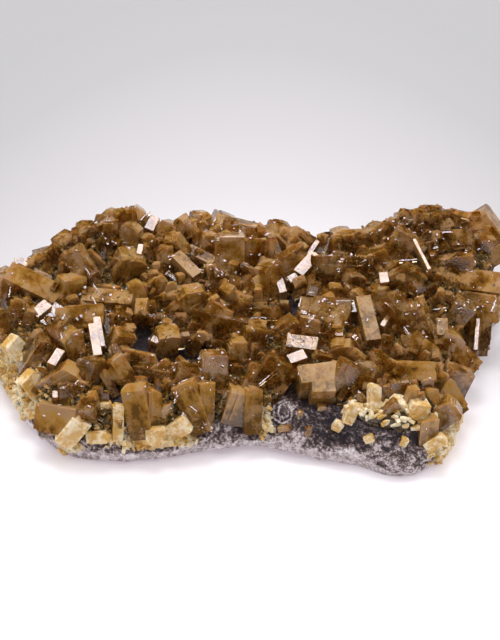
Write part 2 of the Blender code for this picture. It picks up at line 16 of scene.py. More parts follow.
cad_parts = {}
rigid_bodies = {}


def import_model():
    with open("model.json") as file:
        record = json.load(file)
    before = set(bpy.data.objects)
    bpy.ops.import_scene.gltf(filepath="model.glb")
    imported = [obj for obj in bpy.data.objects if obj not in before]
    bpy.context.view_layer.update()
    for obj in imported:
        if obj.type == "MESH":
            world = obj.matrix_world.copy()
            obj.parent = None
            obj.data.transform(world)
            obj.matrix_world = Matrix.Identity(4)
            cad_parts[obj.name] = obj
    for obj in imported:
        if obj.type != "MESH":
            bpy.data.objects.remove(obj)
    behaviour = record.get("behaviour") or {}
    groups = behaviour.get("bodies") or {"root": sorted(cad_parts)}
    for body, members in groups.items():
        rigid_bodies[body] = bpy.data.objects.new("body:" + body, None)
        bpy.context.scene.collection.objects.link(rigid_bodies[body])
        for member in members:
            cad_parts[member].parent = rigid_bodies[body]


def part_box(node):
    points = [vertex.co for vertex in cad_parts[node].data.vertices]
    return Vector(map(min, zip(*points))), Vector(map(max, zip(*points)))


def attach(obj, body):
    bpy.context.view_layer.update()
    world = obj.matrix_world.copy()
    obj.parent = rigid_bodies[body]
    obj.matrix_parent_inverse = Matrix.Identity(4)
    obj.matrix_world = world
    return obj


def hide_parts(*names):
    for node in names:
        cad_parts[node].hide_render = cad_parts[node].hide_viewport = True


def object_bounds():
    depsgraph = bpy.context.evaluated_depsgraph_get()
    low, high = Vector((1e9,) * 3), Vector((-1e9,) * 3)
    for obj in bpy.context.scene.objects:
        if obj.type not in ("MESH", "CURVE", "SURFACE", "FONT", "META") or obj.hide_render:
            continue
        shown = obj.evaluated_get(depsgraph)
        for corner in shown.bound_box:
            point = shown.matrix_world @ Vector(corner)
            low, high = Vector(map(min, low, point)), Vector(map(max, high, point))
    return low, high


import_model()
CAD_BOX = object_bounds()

bl_info = {
    "name": "Barite crystal cluster",
    "version": (1, 0, 0),
    "blender": (4, 5, 0),
    "location": "View3D > Sidebar > Barite",
    "description": "Rock, golden barite crystals, druse, cream crust and a white studio",
    "category": "Add Mesh",
}

MM = 0.001
BODY = "root"
GOLDEN = "Barite, golden translucent"
CREAM = "Barite, cream opaque"

# The rock, in mm, as the solid has it
CENTRE = Vector((0.0, -6.0))        # middle of the rays that its shape is worked out along
PLATEAU = 21.0                      # height of its top over the base
RIM_HEIGHT = 8.5                    # height of its rim, where the top falls to the side
SHOULDER = 15.0                     # width over which the top falls to the rim at the front
BACK_SHOULDER = 5.5                 # and at the back
ARCH_HEIGHT = 2.0                   # height of the hollow under the middle of the front
LUMP = 1.7                          # height of the lumps on the top
SIDE_LUMP = 2.0                     # depth of those on the side
SOLID_RAYS = 48
SOLID_RINGS = (0.4, 0.68, 0.82, 0.9, 0.96)      # shares of the way to the rim, and on the side of the height
SOLID_SIDES = ((1.0, 0.86), (1.005, 0.45), (0.985, 0.12))

# The rock as it looks, which is finer than the solid
ROCK_RAYS = 300
ROCK_TOP_RINGS = 64
ROCK_SIDE_RINGS = 14
ROCK_BASE_RINGS = (0.93, 0.85, 0.7)
RIND_HEIGHT = 6.0                   # mm over the floor that the pale rind reaches
RIND_HIGH_PX = (350, 14)            # column at which it reaches further up, and how far that spreads
RIND_LOW_PX = (405, 26)             # column at which it is lower, in the same way

# The sheet of intergrown roots
BED_RAYS = 220
BED_RINGS = 70
BED_DEPTH = 3.8                     # mm that it lies over the rock
BED_ROOT = 5.0                      # mm that it reaches down into the rock

# The crystals
CANOPY = 7.5                        # mm of the crystals' middles over the rock
CREAM_SHARE = 0.85                  # size of the cream crystals to that of the solid's
GROWTH_SEED = 5
FILL_SPACING = 8.8                  # mm between the crystals that fill the crust
FILL_GRID = (9, 13)                 # half the rows and half the columns of the grid that they stand on
FILL_JITTER = 2.2                   # mm that they are moved from it at most
FILL_SIZE = ((11.0, 17.0), (5.0, 8.0), (4.0, 6.5))      # least and most length, width and thickness
FILL_LEAN = 38.0                    # spread of their leans in degrees
FILL_SEED = 17
GAP_SPACING = 5.2                   # the same for the small ones that fill the crust's gaps
GAP_GRID = (18, 23)
GAP_JITTER = 1.8
GAP_SIZE = ((7.0, 13.0), (2.4, 4.8), (1.8, 3.6))
GAP_LEAN = 35.0
GAP_SLANT = 14.0                    # spread in degrees of those that are turned much like a larger one
GAP_SEED = 23
YOUNG_SLANT = 20.0                  # spread in degrees of those that grow from a larger one's side
MAIN_OVER = 6.0                     # pixels of the view that a corner may stand over the outline
FILL_OVER = 1.0                     # and a corner of the crystals that fill
FRONT_OVER = 1.0                    # pixels that a corner may stand out at the front
TUCK_STEPS = 14                     # most steps by which a crystal is brought in from there
TUCK_STEP = 0.5                     # mm of each step
FRONT_PX = 400                      # the crystals below this row are cloudy
CLOUDED = 1.5                       # the cloudiness of these, and of the mirroring ones
STRETCH_PX = 390                    # the shorter crystals above this row reach further than they show
SHORT = 15.0                        # mm under which a crystal is one of those
BACK_PX = 16                        # pixels under the skyline within which a mirroring one's root is shallow
EDGE = 0.09                         # mm trimmed off the edges of their blocks
MIRROR_EDGE = 0.1                   # and of the mirroring ones
ROOT_SHADE_HEIGHT = 1.0                   # mm over the rock at which the painted shade on the crystals is darkest
SHADE_FREE_HEIGHT = 13.0                   # mm over the rock above which the painted shade leaves them lightest

# The crystals with a face that mirrors the softbox to the viewer
BRIGHT = "bright"                   # the widest face mirrors the middle of the softbox
DIM = "dim"                         # the widest face mirrors the softbox's dimmer surround
MIRRORS = (BRIGHT, DIM)
DIM_TURN = math.radians(8.0)
MIRROR_LIFT = 3.0                   # mm that they stand nearer to the viewer
MIRROR_ROOT = 8.0                   # mm that they reach further down behind their face
MAIN_SINK = 4.0                     # mm that another crystal is set back where it would hide one
FILL_SINK = 5.0                     # mm that one that fills is set back where it would stand before another

# The view that the places were read from: it looks along +Y and down, and its rays come from one point
VIEW_TILT = math.radians(40.0)
VIEW_DISTANCE = 850.0
VIEW_REACH = 150.0                  # mm before and behind the target in which the view finds a surface
VIEW_HALVINGS = 40                  # times that this stretch is halved to find it
VIEW_TARGET = Vector((0.0, -6.0, 20.0))
VIEW_SCALE = 0.4                    # mm at the target for one pixel
VIEW_CENTRE_PX = (250.0, 322.0)
FRAME_PX = (500, 640)
RIGHT = Vector((1.0, 0.0, 0.0))
UPWARD = Vector((0.0, math.sin(VIEW_TILT), math.cos(VIEW_TILT)))
TOWARDS = Vector((0.0, -math.cos(VIEW_TILT), math.sin(VIEW_TILT)))
EYE = VIEW_TARGET + TOWARDS * VIEW_DISTANCE

# The softbox stands above and a little behind the specimen
LAMP_DIRECTION = Vector((0.0, 0.3004, 0.9538))
LAMP_DISTANCE = 900.0
LAMP = VIEW_TARGET + LAMP_DIRECTION * LAMP_DISTANCE
SURROUND_LIFT = 4.0                 # mm that the softbox's surround hangs over its bright middle
CARD_DISTANCE = 1100.0

# Width and depth of each light and half the floor's width, in metres, and the camera's sensor, in mm
SOFTBOX = (0.30, 0.26)
SURROUND = (0.64, 0.34)
CEILING = (3.2, 2.4)
CARD = (0.4, 0.9)
FLOOR_REACH = 3.0
SENSOR_WIDTH = 36.0

# The rim of the rock in plan, anticlockwise from its right end
RIM = (
    (100, 12), (104, 27), (99, 41), (84, 49), (62, 50), (40, 47), (18, 45), (-5, 45), (-28, 46), (-50, 48),
    (-70, 42), (-88, 32), (-103, 18), (-107, 1), (-100, -19.5), (-93, -31.5), (-87, -46), (-78, -57),
    (-70, -64), (-58, -66), (-42, -66), (-21, -62.5), (2, -60), (23, -65), (42, -69), (54, -75), (66, -73),
    (75, -63), (79, -51), (84, -30), (88, -9),
)

# A crystal seen in the view: the pixel of its middle, its length, width and thickness, the turn of its length
# clockwise from straight up, its lean towards the viewer, and its spin about its length.
Crystal = namedtuple("Crystal", "px py length width thickness turn lean spin")

BACK_CRYSTALS = (
    (112, 222, 9, 8, 7, -15, 20, 25), (99, 228, 9, 7, 6, 30, 10, -20), (86, 236, 10, 8, 6, 10, 30, 20),
    (71, 243, 10, 9, 7, -20, 30, 30), (50, 258, 13, 10, 8, -10, 20, 15), (30, 268, 9, 8, 7, 60, 20, -20),
    (134, 220, 11, 12, 7, 52, 5, 12), (152, 224, 7, 4, 5, 20, BRIGHT, 0), (109, 240, 13, 6, 6, 5, 15, 20),
    (128, 247, 14, 8, 7, 8, 20, -15), (147, 251, 10, 6, 6, 5, 15, 20), (140, 250, 5, 2.2, 4, 8, BRIGHT, 0),
    (161, 236, 11, 8, 7, 40, 20, -15), (175, 235, 13, 8, 7, 58, 15, 20), (200, 227, 11, 6, 6, 5, 15, 30),
    (219, 228, 12, 9, 7, 24, 10, 15), (240, 233, 11, 9, 7, 105, 15, 20), (262, 236, 11, 8, 7, 80, 20, -20),
    (279, 237, 10, 9, 8, 20, 25, 30), (302, 241, 10, 8, 7, -60, 30, 20), (326, 241, 9, 7, 6, 30, 25, 30),
    (341, 244, 12, 8, 8, 4, 15, 12), (362, 244, 11, 9, 7, 90, 20, 25), (383, 236, 11, 9, 8, -30, 20, 20),
    (404, 220, 11, 8, 7, 8, 15, 10), (434, 218, 11, 9, 9, 15, 20, 40), (459, 222, 11, 9, 7, 90, 15, -20),
    (486, 231, 19, 13, 10, -38, 15, -25), (420, 226, 9, 6, 6, 10, 25, 30),
)
LEFT_CRYSTALS = (
    (5, 280, 11, 9, 7, -15, 20, 20), (7, 297, 13, 7, 6, 5, 15, 30), (21, 264, 5.5, 4.5, 6, 85, BRIGHT, 0),
    (38, 286, 20, 9, 8, 116, 5, -25), (41, 310, 8, 4.5, 6, 38, BRIGHT, 0), (30, 327, 12, 9, 7, 20, 30, 20),
    (9, 330, 12, 9, 7, -30, 30, 20), (84, 273, 20, 8, 7, -30, 10, -20), (72, 294, 11, 10, 8, 10, 20, 35),
    (111, 298, 17, 7, 7, 95, 15, -35), (83, 318, 16, 10, 8, 86, 10, -20),
    (95, 341, 15, 3.5, 7, -6, BRIGHT, 0), (99, 333, 14, 3, 6, -6, BRIGHT, 0),
    (116, 326, 10, 7, 7, 40, 25, 25), (65, 345, 14, 7, 6, -15, 25, 40), (41, 358, 12, 9, 7, 35, 20, 25),
    (56, 358, 8, 3.5, 5, 24, BRIGHT, 0), (76, 353, 14, 8, 7, -15, 25, 20), (20, 352, 11, 9, 7, -40, 35, 20),
    (61, 381, 12, 9, 7, 60, 30, 20), (84, 377, 12, 9, 7, 20, 25, -30), (35, 388, 11, 9, 6, -35, 35, 20),
    (53, 425, 14, 11, 7, 100, 20, 10), (69, 399, 11, 8, 7, 4, 18, 15), (55, 395, 3.2, 2, 3, 0, BRIGHT, 0),
    (74, 431, 13, 9, 7, 40, 20, 25), (99, 437, 9, 6, 6, 88, 20, 10), (106, 412, 8, 5, 5, 0, 15, 10),
    (118, 421, 14, 5, 5, 2, 15, 15),
)
MIDDLE_CRYSTALS = (
    (127, 273, 12, 11, 9, 30, 30, 30), (156, 291, 10, 8, 7, 10, 25, 20), (168, 303, 9, 7, 6, 70, 20, 25),
    (186, 266, 13, 5, 9, -36, DIM, 0), (208, 254, 13, 6, 6, 4, 15, 25), (229, 263, 21, 12, 10, 1, 12, 6),
    (193, 289, 8, 9, 8, 2, 30, 15), (193, 309, 12, 12, 9, -4, 25, 12), (251, 261, 17, 8, 7, 10, 10, -30),
    (273, 286, 18, 9, 8, -5, 15, 35), (280, 283, 11, 3, 7, -12, BRIGHT, 0),
    (223, 329, 19, 12, 9, 102, 15, 8), (171, 320, 10, 5, 6, 88, 20, -30), (119, 349, 11, 8, 7, 30, 25, 30),
    (166, 347, 10, 9, 8, 20, 35, 25), (103, 374, 9, 6, 6, -22, 20, 15), (127, 376, 13, 6, 6, -32, 15, 20),
    (141, 365, 9, 4, 5, 95, 15, 20), (156, 379, 11, 9, 7, 100, 25, 25), (214, 377, 14, 10, 8, 2, 20, 12),
    (237, 361, 13, 7, 7, 4, 15, 10), (182, 386, 12, 9, 7, 30, 25, 25), (137, 410, 17, 9, 8, -10, 15, -15),
    (154, 409, 14, 5, 6, 2, 15, 20), (167, 413, 7, 6, 6, -20, 30, 20), (191, 405, 17, 9, 7, -22, 10, -15),
    (206, 402, 14, 6, 7, 2, 10, 20), (178, 429, 10, 8, 7, 60, 25, 20), (150, 436, 10, 8, 7, 100, 20, 20),
    (238, 405, 12, 10, 8, 20, 20, 20), (253, 408, 15, 6.5, 7, 2, 15, 15), (271, 381, 14, 13, 9, 36, 10, 12),
    (297, 358, 7, 4.5, 6, 62, BRIGHT, 0), (302, 344, 12, 6, 8, 102, BRIGHT, 0),
    (327, 316, 17, 15, 9, 95, 12, -22), (262, 319, 12, 9, 8, 92, 20, 10),
    (307, 265, 12, 4.8, 8, 32, BRIGHT, 0), (313, 249, 8, 2, 5, 26, BRIGHT, 0),
    (293, 279, 4, 3.5, 5, 55, BRIGHT, 0), (297, 273, 12, 10, 8, 60, 10, 20),
    (340, 269, 17, 11, 9, 92, 10, 8), (370, 264, 13, 9, 8, 70, 15, 20), (352, 308, 5, 5, 5, 0, BRIGHT, 0),
    (350, 290, 11, 8, 7, 30, 20, 25), (319, 374, 16, 8, 8, 74, DIM, 0), (323, 387, 9, 6, 7, 84, DIM, 0),
    (340, 385, 14, 8, 7, 30, 15, 20), (252, 346, 13, 9, 8, 20, 25, 20), (279, 335, 12, 8, 7, 60, 20, 20),
)
RIGHT_CRYSTALS = (
    (368, 320, 21, 6, 9, -6, DIM, 0), (381, 302, 9, 7, 7, -6, 20, 30), (391, 315, 14, 2, 8, 26, BRIGHT, 0),
    (384, 279, 5, 3.6, 6, -8, BRIGHT, 0), (398, 250, 13, 9, 8, 35, 15, 15),
    (422, 257, 16, 1.3, 11, -20, BRIGHT, 0), (451, 239, 13, 7, 7, 86, 20, -15),
    (476, 248, 7, 5, 7, 62, DIM, 0), (486, 262, 7, 3, 6, -15, BRIGHT, 0), (451, 264, 14, 6, 7, 84, 15, 20),
    (469, 281, 25, 9, 9, 97, 8, -20), (471, 304, 22, 11, 8, 100, 15, 20),
    (406, 325, 25, 8, 10, -28, 10, 30), (420, 331, 20, 10, 8, -26, 12, -25),
    (442, 328, 8, 4.5, 6, 2, DIM, 0), (455, 318, 12, 9, 8, 40, 20, 20), (482, 333, 13, 10, 8, 4, 12, 25),
    (477, 336, 15, 1.6, 7, 2, BRIGHT, 0), (464, 361, 16, 9, 8, -48, 10, 15),
    (447, 350, 11, 9, 8, 30, 20, 20), (416, 372, 15, 8, 8, 92, 15, -15), (398, 394, 10, 8, 7, 10, 20, 15),
    (358, 384, 14, 10, 8, 25, 15, -20), (375, 403, 15, 5, 6, 2, 12, 15), (352, 413, 8, 5, 5, 24, 15, 15),
    (396, 409, 9, 7, 7, 50, 25, 25), (417, 415, 11, 9, 8, 20, 25, 25), (428, 430, 9, 7, 7, 5, 20, 15),
    (449, 420, 11, 9, 8, 60, 20, 20), (456, 388, 11, 10, 8, 25, 20, 20), (456, 404, 12, 9, 8, -30, 15, 20),
    (434, 402, 11, 5, 6, -15, 15, 15), (440, 447, 8, 5, 6, 60, 15, 10), (427, 350, 12, 9, 8, -60, 20, 20),
    (403, 280, 12, 10, 8, 60, 20, 20),
)

# Finishes that differ from the golden brown of most crystals, by the pixel of the crystal's middle
CREAM_PX = {
    (20, 352), (35, 388), (106, 412), (118, 421), (178, 429), (150, 436), (375, 403), (352, 413),
    (396, 409), (417, 415), (440, 447), (99, 437), (74, 431),
}
TAN_PX = {(9, 330), (53, 425), (167, 413), (398, 394), (428, 430), (456, 404), (302, 241), (434, 402)}
DRUSY_PX = {
    (111, 298), (383, 236), (327, 316), (451, 239), (471, 304), (420, 331), (358, 384), (381, 302),
    (84, 273), (486, 262), (302, 344), (166, 347), (127, 273), (434, 218), (128, 247), (455, 318),
    (340, 269), (193, 289),
}

# The outline of the crystals against the background in the view, in pixels from left to right
SKYLINE = (
    (0, 270), (14, 262), (36, 253), (42, 244), (64, 242), (66, 231), (80, 222), (96, 219), (106, 212),
    (132, 204), (149, 214), (160, 221), (182, 217), (198, 214), (210, 211), (230, 220), (270, 223),
    (284, 224), (306, 231), (320, 235), (334, 229), (352, 231), (369, 232), (374, 225), (392, 216),
    (400, 206), (413, 212), (430, 203), (444, 203), (456, 211), (471, 209), (482, 204), (499, 214),
)

# The outline of the specimen against the floor before it, in the same way
FRONTLINE = (
    (0, 381), (12, 396), (17, 410), (32, 424), (46, 443), (61, 449), (90, 458), (160, 458), (179, 455),
    (208, 450), (250, 447), (281, 449), (311, 454), (332, 458), (352, 461), (363, 466), (377, 472),
    (393, 474), (414, 471), (424, 469), (434, 463), (444, 451), (451, 443), (457, 432), (465, 418),
    (471, 400), (476, 376), (481, 358), (494, 348), (499, 334),
)

# The crystals that stand alone on the bare rock of the front: their name, pixel, size and directions. All
# have the same faces at their tip and one finish, which is lightness, cloudiness, share of druse and a 1.
LONE_CRYSTALS = (
    ("lone_crystal_golden_upper", 321, 408, 3.6, 3.2, 3.2, 20, 25, 20),
    ("lone_crystal_golden_disc_side", 300, 413, 2.8, 2.4, 2.6, 10, 30, 20),
    ("lone_crystal_golden_low_left", 285, 428, 4.2, 2.2, 2.6, 80, 20, 15),
    ("lone_crystal_golden_low_middle", 308, 430, 3.4, 2.4, 2.6, 10, 25, 20),
    ("lone_crystal_cream_middle", 338, 425, 3.8, 3.6, 3.0, 35, 25, 20),
    ("lone_crystal_cream_low_right", 370, 438, 3.6, 3.0, 2.8, 70, 25, 20),
    ("lone_crystal_cream_right", 404, 441, 3.2, 2.8, 2.8, 30, 25, 20),
)
LONE_TIP = (0.7, 0.8, 0.8, 0.0)
LONE_FINISH = (1.5, 0.8, 0.0, 1.0)

# Where rock shows between the crystals, coloured darker there as painted shade: pixel of the middle, and half
# width and half height in pixels
DARK_GAPS = (
    (142, 336, 12, 14), (192, 352, 16, 8), (158, 360, 14, 6), (138, 372, 9, 8), (115, 395, 13, 10),
    (325, 280, 7, 6), (357, 277, 7, 6), (295, 306, 8, 14), (215, 355, 10, 9), (210, 408, 7, 6),
    (294, 383, 9, 9), (62, 235, 9, 6), (156, 218, 8, 5), (312, 233, 8, 6), (385, 217, 8, 5),
    (330, 395, 16, 8),
)

# Where most of the small glinting crystals are, in the same way, and the rows that have any
GLINT_SPOTS = (
    (207, 270, 14, 26), (338, 258, 14, 8), (392, 236, 14, 12), (470, 258, 34, 14), (472, 300, 30, 12),
    (418, 318, 18, 20), (330, 314, 18, 14), (190, 360, 30, 22), (110, 235, 26, 12), (120, 300, 18, 10),
    (60, 320, 20, 20), (200, 425, 14, 12), (290, 335, 26, 10), (240, 232, 30, 8), (430, 232, 30, 10),
)
GLINT_ROWS = (204.0, 450.0)
GLINT_COUNT = 2600
GLINT_SEED = 31
GLINT_ROOT = 1.4                    # mm that a glinting crystal reaches under the surface

# Thin edges that catch the light: pixel, length and width in mm, and turn
GLINT_LINES = (
    (265, 318, 11, 0.45, 89), (408, 260, 7, 0.5, 88), (269, 376, 11, 0.4, 38), (450, 232, 11, 0.8, 88),
    (10, 290, 7, 0.4, 8), (13, 314, 8, 0.5, 14), (63, 318, 4, 0.6, 20), (97, 290, 6, 0.5, -24),
    (86, 269, 7, 0.4, -24), (178, 396, 6, 0.4, 28), (191, 407, 6, 0.4, -40), (62, 338, 5, 0.5, -10),
    (145, 216, 6, 0.5, 36), (214, 222, 4, 0.6, 20), (205, 231, 5, 0.4, 70), (362, 262, 4, 0.4, 60),
    (440, 309, 5, 0.5, 80), (496, 300, 12, 0.6, 14), (410, 335, 9, 0.4, -28), (345, 301, 7, 0.4, 92),
    (300, 302, 5, 0.4, 10),
)

# Where cream crust lies on the rock's side: pixel of the middle, and half width and half height in pixels
CREAM_SPOTS = (
    (5, 366, 9, 18), (16, 390, 8, 7), (30, 408, 8, 6), (72, 447, 9, 4), (150, 440, 32, 6),
    (110, 432, 14, 5), (262, 418, 7, 14), (440, 450, 6, 8), (450, 436, 6, 10), (458, 420, 5, 12),
)

# Bands of the front whose crystals' roots are cream, in the view's pixels: first column, last column and top
# row, each with the pixels over which the band begins or ends there, and how far the top falls for a column
CREAM_BANDS = (
    (-100.0, 14.0, 56.0, 14.0, 326.0, 12.0, 0.9), (84.0, 14.0, 215.0, 20.0, 424.0, 12.0, 0.0),
    (340.0, 16.0, 462.0, 14.0, 396.0, 14.0, 0.0),
)

# Small crystals that are strewn: how many a square metre has where they are thickest, and how far they tilt
SMALL_DENSITY = 420000.0
BLOCK_DENSITY = 260000.0
CRUST_DENSITY = 520000.0
DRUSE_DENSITY = 600000.0
STREWN_TILT = math.radians(60.0)

# The parallel blocks of a cream crystal one unit long: lower corner, upper corner and faces at the tip
TWIN_BUD = (
    ((-0.38, -0.24, -0.4), (0.1, 0.26, 0.6), (0.7, 0.9, 0.6, 0.0)),
    ((-0.05, -0.28, -0.4), (0.36, 0.2, 0.42), (0.6, 1.0, 0.6, 1.0)),
)
TWIN_FINISH = (0.5, 0.5, 0.0, 1.0)
TWIN_EDGE = 0.03                    # what is trimmed off their edges

# A box's faces, and the numbers of corners and levels of a block with trimmed edges
BOX_FACES = ((3, 2, 1, 0), (4, 5, 6, 7), (0, 1, 5, 4), (1, 2, 6, 5), (2, 3, 7, 6), (3, 0, 4, 7))
BLOCK_CORNERS = 8
BLOCK_LEVELS = 5
PLAIN_TIP = (1.0, 1.0, 1.0, 0.0)    # a block's shares of width and thickness left, steepness and shift there

# What the materials need to know
BARITE_IOR = 1.636
AMBER_GLOW = (1.0, 0.5, 0.2)        # how far red, green and blue light spreads inside golden barite
CREAM_GLOW = (1.0, 0.7, 0.4)        # and inside cream barite
RING_PX = (283, 412)                # middle of the rings of pale mineral on the bare rock
RING_RADII = (0.004, 0.0022)        # radii of the two, in metres
RING_EDGE = (0.0007, 0.0001)        # metres from a ring at which it begins and at which it is whole
RING_END = (0.0055, 0.0045)         # metres from the middle beyond which there is nothing of them
RING_BEND = 0.003                   # metres that they are out of round
SIDE_FALL = 5.7                     # how much sooner the paper's painted shade greys it at the sides, for a metre squared


# The rock's rules, as the solid has them

def rim_radius(angle):
    """Distance from the centre to the rim in one direction, on the smooth curve through the rim's points."""
    points = [Vector(p) - CENTRE for p in RIM]
    turns = [(math.atan2(p.y, p.x) - math.atan2(points[0].y, points[0].x)) % math.tau for p in points]
    turn = (angle - math.atan2(points[0].y, points[0].x)) % math.tau
    count = len(points)
    here = max(i for i in range(count) if turns[i] <= turn)
    span = (turns[(here + 1) % count] - turns[here]) % math.tau
    t = (turn - turns[here]) / span
    a, b, c, d = (points[(here + k) % count].length for k in (-1, 0, 1, 2))
    square, cube = (2 * a - 5 * b + 4 * c - d) * t * t, (3 * b - a - 3 * c + d) * t ** 3
    return 0.5 * (2 * b + (c - a) * t + square + cube)


RADII = [rim_radius(math.radians(degree)) for degree in range(360)]


def radius(angle):
    """Rim radius read between whole degrees."""
    degrees = math.degrees(angle) % 360.0
    low = int(degrees)
    return RADII[low % 360] + (RADII[(low + 1) % 360] - RADII[low % 360]) * (degrees - low)


def bump(value, middle, width):
    """A smooth hill of height 1."""
    return math.exp(-((value - middle) / width) ** 2)


def smooth(value):
    """0 below 0, 1 above 1, and an even curve between them."""
    value = min(max(value, 0.0), 1.0)
    return value * value * (3.0 - 2.0 * value)


def plan(angle, fraction):
    """The point at this share of the way from the centre to the rim."""
    reach = radius(angle) * fraction
    return CENTRE.x + reach * math.cos(angle), CENTRE.y + reach * math.sin(angle)


def ring_fraction(x, y):
    """The share of the way from the centre to the rim at which a point lies, and its direction."""
    angle = math.atan2(y - CENTRE.y, x - CENTRE.x)
    return math.hypot(x - CENTRE.x, y - CENTRE.y) / radius(angle), angle


def ground(x, y):
    """Height of the rock's top without its lumps and shoulder: two rises at the back and a dip between."""
    rise = 10.0 * bump(x, -50, 30) * bump(y, 34, 24) + 12.0 * bump(x, 74, 27) * bump(y, 32, 30)
    dip = 2.0 * bump(x, 26, 22) * bump(y, 40, 20)
    return PLATEAU + rise - dip + 0.04 * y


def rock_top(x, y):
    """Height of the rock's top, which falls to the shoulder near the rim."""
    fraction, angle = ring_fraction(x, y)
    inside = (1.0 - fraction) * radius(angle)
    shoulder = SHOULDER + (BACK_SHOULDER - SHOULDER) * smooth(math.sin(angle) / 0.6)
    return RIM_HEIGHT + (ground(x, y) - RIM_HEIGHT) * smooth(0.12 + inside / shoulder)


def canopy(x, y, rise=CANOPY):
    """The surface that the crystals' middles lie on. It stays high at the back, where the rock falls away."""
    fraction, angle = ring_fraction(x, y)
    inside = (1.0 - fraction) * radius(angle)
    share = max(smooth(0.2 + inside / 20.0), smooth((math.sin(angle) - 0.1) / 0.5))
    return RIM_HEIGHT + (ground(x, y) - RIM_HEIGHT) * share + rise


def crust_edge(angle):
    """The share of the way to the rim that the crystals cover. The front is bare right of its middle."""
    x, y = plan(angle, 1.0)
    front = smooth((-y - 20.0) / 20.0)
    bare = 0.34 * bump(x, 27, 17) + 0.09 * bump(x, 56, 15) + 0.05 * bump(x, -8, 18)
    return 0.97 - front * bare


def underside(x, y):
    """Height of the rock's underside, which arches up in the middle of the front."""
    return ARCH_HEIGHT * bump(x, 2, 30) * smooth((-y - 34.0) / 16.0)


def lump(x, y, z, size=11.0):
    """Noise from -1 to 1 that makes lumps of the given size."""
    return noise.fractal(Vector((x, y, z)) / size, 0.8, 2.1, 3)


# The view

def view_ray(px, py):
    """The way from the eye through a pixel, which reaches the target's depth at the view's distance."""
    across = (px - VIEW_CENTRE_PX[0]) * VIEW_SCALE / VIEW_DISTANCE
    up = (VIEW_CENTRE_PX[1] - py) * VIEW_SCALE / VIEW_DISTANCE
    return RIGHT * across + UPWARD * up - TOWARDS


def seen_point(px, py, surface):
    """The point of a surface that the view shows at a pixel."""
    ray = view_ray(px, py)
    near, far = VIEW_DISTANCE - VIEW_REACH, VIEW_DISTANCE + VIEW_REACH
    for _ in range(VIEW_HALVINGS):
        middle = (near + far) / 2.0
        point = EYE + ray * middle
        if point.z > surface(point.x, point.y):
            near = middle
        else:
            far = middle
    return EYE + ray * near


def pixel_of(point):
    """Where the view shows a point."""
    offset = point - EYE
    depth = -offset.dot(TOWARDS)
    scale = VIEW_DISTANCE / (VIEW_SCALE * depth)
    return VIEW_CENTRE_PX[0] + offset.dot(RIGHT) * scale, VIEW_CENTRE_PX[1] - offset.dot(UPWARD) * scale


def height_along(outline, px):
    """Height in the view of an outline at a pixel's column."""
    for (left, start), (right, end) in zip(outline, outline[1:]):
        if px <= right:
            return start + (end - start) * (px - left) / (right - left)
    return outline[-1][1]


def seen_corners(size, matrix):
    """The pixels at which the view shows the corners of a crystal."""
    length, width, thickness = (value / 2.0 for value in size)
    corners = [(x * width, y * thickness, z * length) for x in (-1, 1) for y in (-1, 1) for z in (-1, 1)]
    return [pixel_of(matrix @ Vector(corner)) for corner in corners]


def sink(size, matrix, over):
    """Lower a crystal in the view until its corners stand no more than so many pixels over the outline."""
    excess = max(height_along(SKYLINE, px) - py for px, py in seen_corners(size, matrix)) - over
    if excess > 0.0:
        matrix.translation -= UPWARD * excess * VIEW_SCALE


def tuck(size, matrix):
    """Bring a crystal in from the front until the view shows none of its corners beyond the outline there."""
    for _ in range(TUCK_STEPS):
        seen = [(px, py) for px, py in seen_corners(size, matrix) if 0 <= px <= FRAME_PX[0]]
        if all(py < height_along(FRONTLINE, px) + FRONT_OVER for px, py in seen):
            return
        matrix.translation += UPWARD * TUCK_STEP - RIGHT * math.copysign(TUCK_STEP, matrix.translation.x)


def share_near(px, py, spots):
    """1 at a pixel inside one of some spots, 0 away from them."""
    return max(smooth(1.8 - math.hypot((px - x) / wide, (py - y) / high)) for x, y, wide, high in spots)


def share_at(point, spots):
    """1 where the view shows a point inside one of some spots, 0 away from them."""
    return share_near(*pixel_of(point), spots)


def mirror_face(at, turn):
    """The way a face has to look in to mirror the softbox to the viewer, turned aside for its surround."""
    face = ((EYE - at).normalized() + (LAMP - at).normalized()).normalized()
    return Matrix.Rotation(turn, 3, "Y") @ face


def axes_from_view(at, turn, lean, spin):
    """Directions of a crystal's width, thickness and length from how it is seen."""
    turn = math.radians(turn)
    in_picture = RIGHT * math.sin(turn) + UPWARD * math.cos(turn)
    if lean in MIRRORS:
        face = mirror_face(at, DIM_TURN if lean == DIM else 0.0)
        length = (in_picture - face * in_picture.dot(face)).normalized()
    else:
        lean = math.radians(lean)
        length = in_picture * math.cos(lean) + TOWARDS * math.sin(lean)
        face = (TOWARDS - length * TOWARDS.dot(length)).normalized()
        face = Matrix.Rotation(math.radians(spin), 3, length) @ face
    return face.cross(length), face, length


def placement(at, axes):
    """Matrix that takes a crystal's own X, Y and Z to its width, thickness and length."""
    width, thickness, length = axes
    matrix = Matrix((width, thickness, length)).transposed().to_4x4()
    matrix.translation = at
    return matrix


# The frame

def solid_rock_low():
    """Lowest corner of the rock as the solid has it, before the solid was centred on its base."""
    points = []
    for i in range(SOLID_RAYS):
        angle = math.tau * i / SOLID_RAYS
        points += [Vector((*plan(angle, fraction), 0.0)) for fraction in SOLID_RINGS]
        for fraction, share in SOLID_SIDES:
            x, y = plan(angle, fraction)
            low = underside(x, y)
            push = 1.0 + SIDE_LUMP * lump(x, y, low + (RIM_HEIGHT - low) * share, 9.0) / radius(angle)
            points.append(Vector((CENTRE.x + (x - CENTRE.x) * push, CENTRE.y + (y - CENTRE.y) * push, 0.0)))
    return Vector([min(point[i] for point in points) for i in range(3)])


TO_FRAME = Matrix.Translation(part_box("rock_matrix")[0] - solid_rock_low() * MM) @ Matrix.Scale(MM, 4)


# The blocks of the crystals

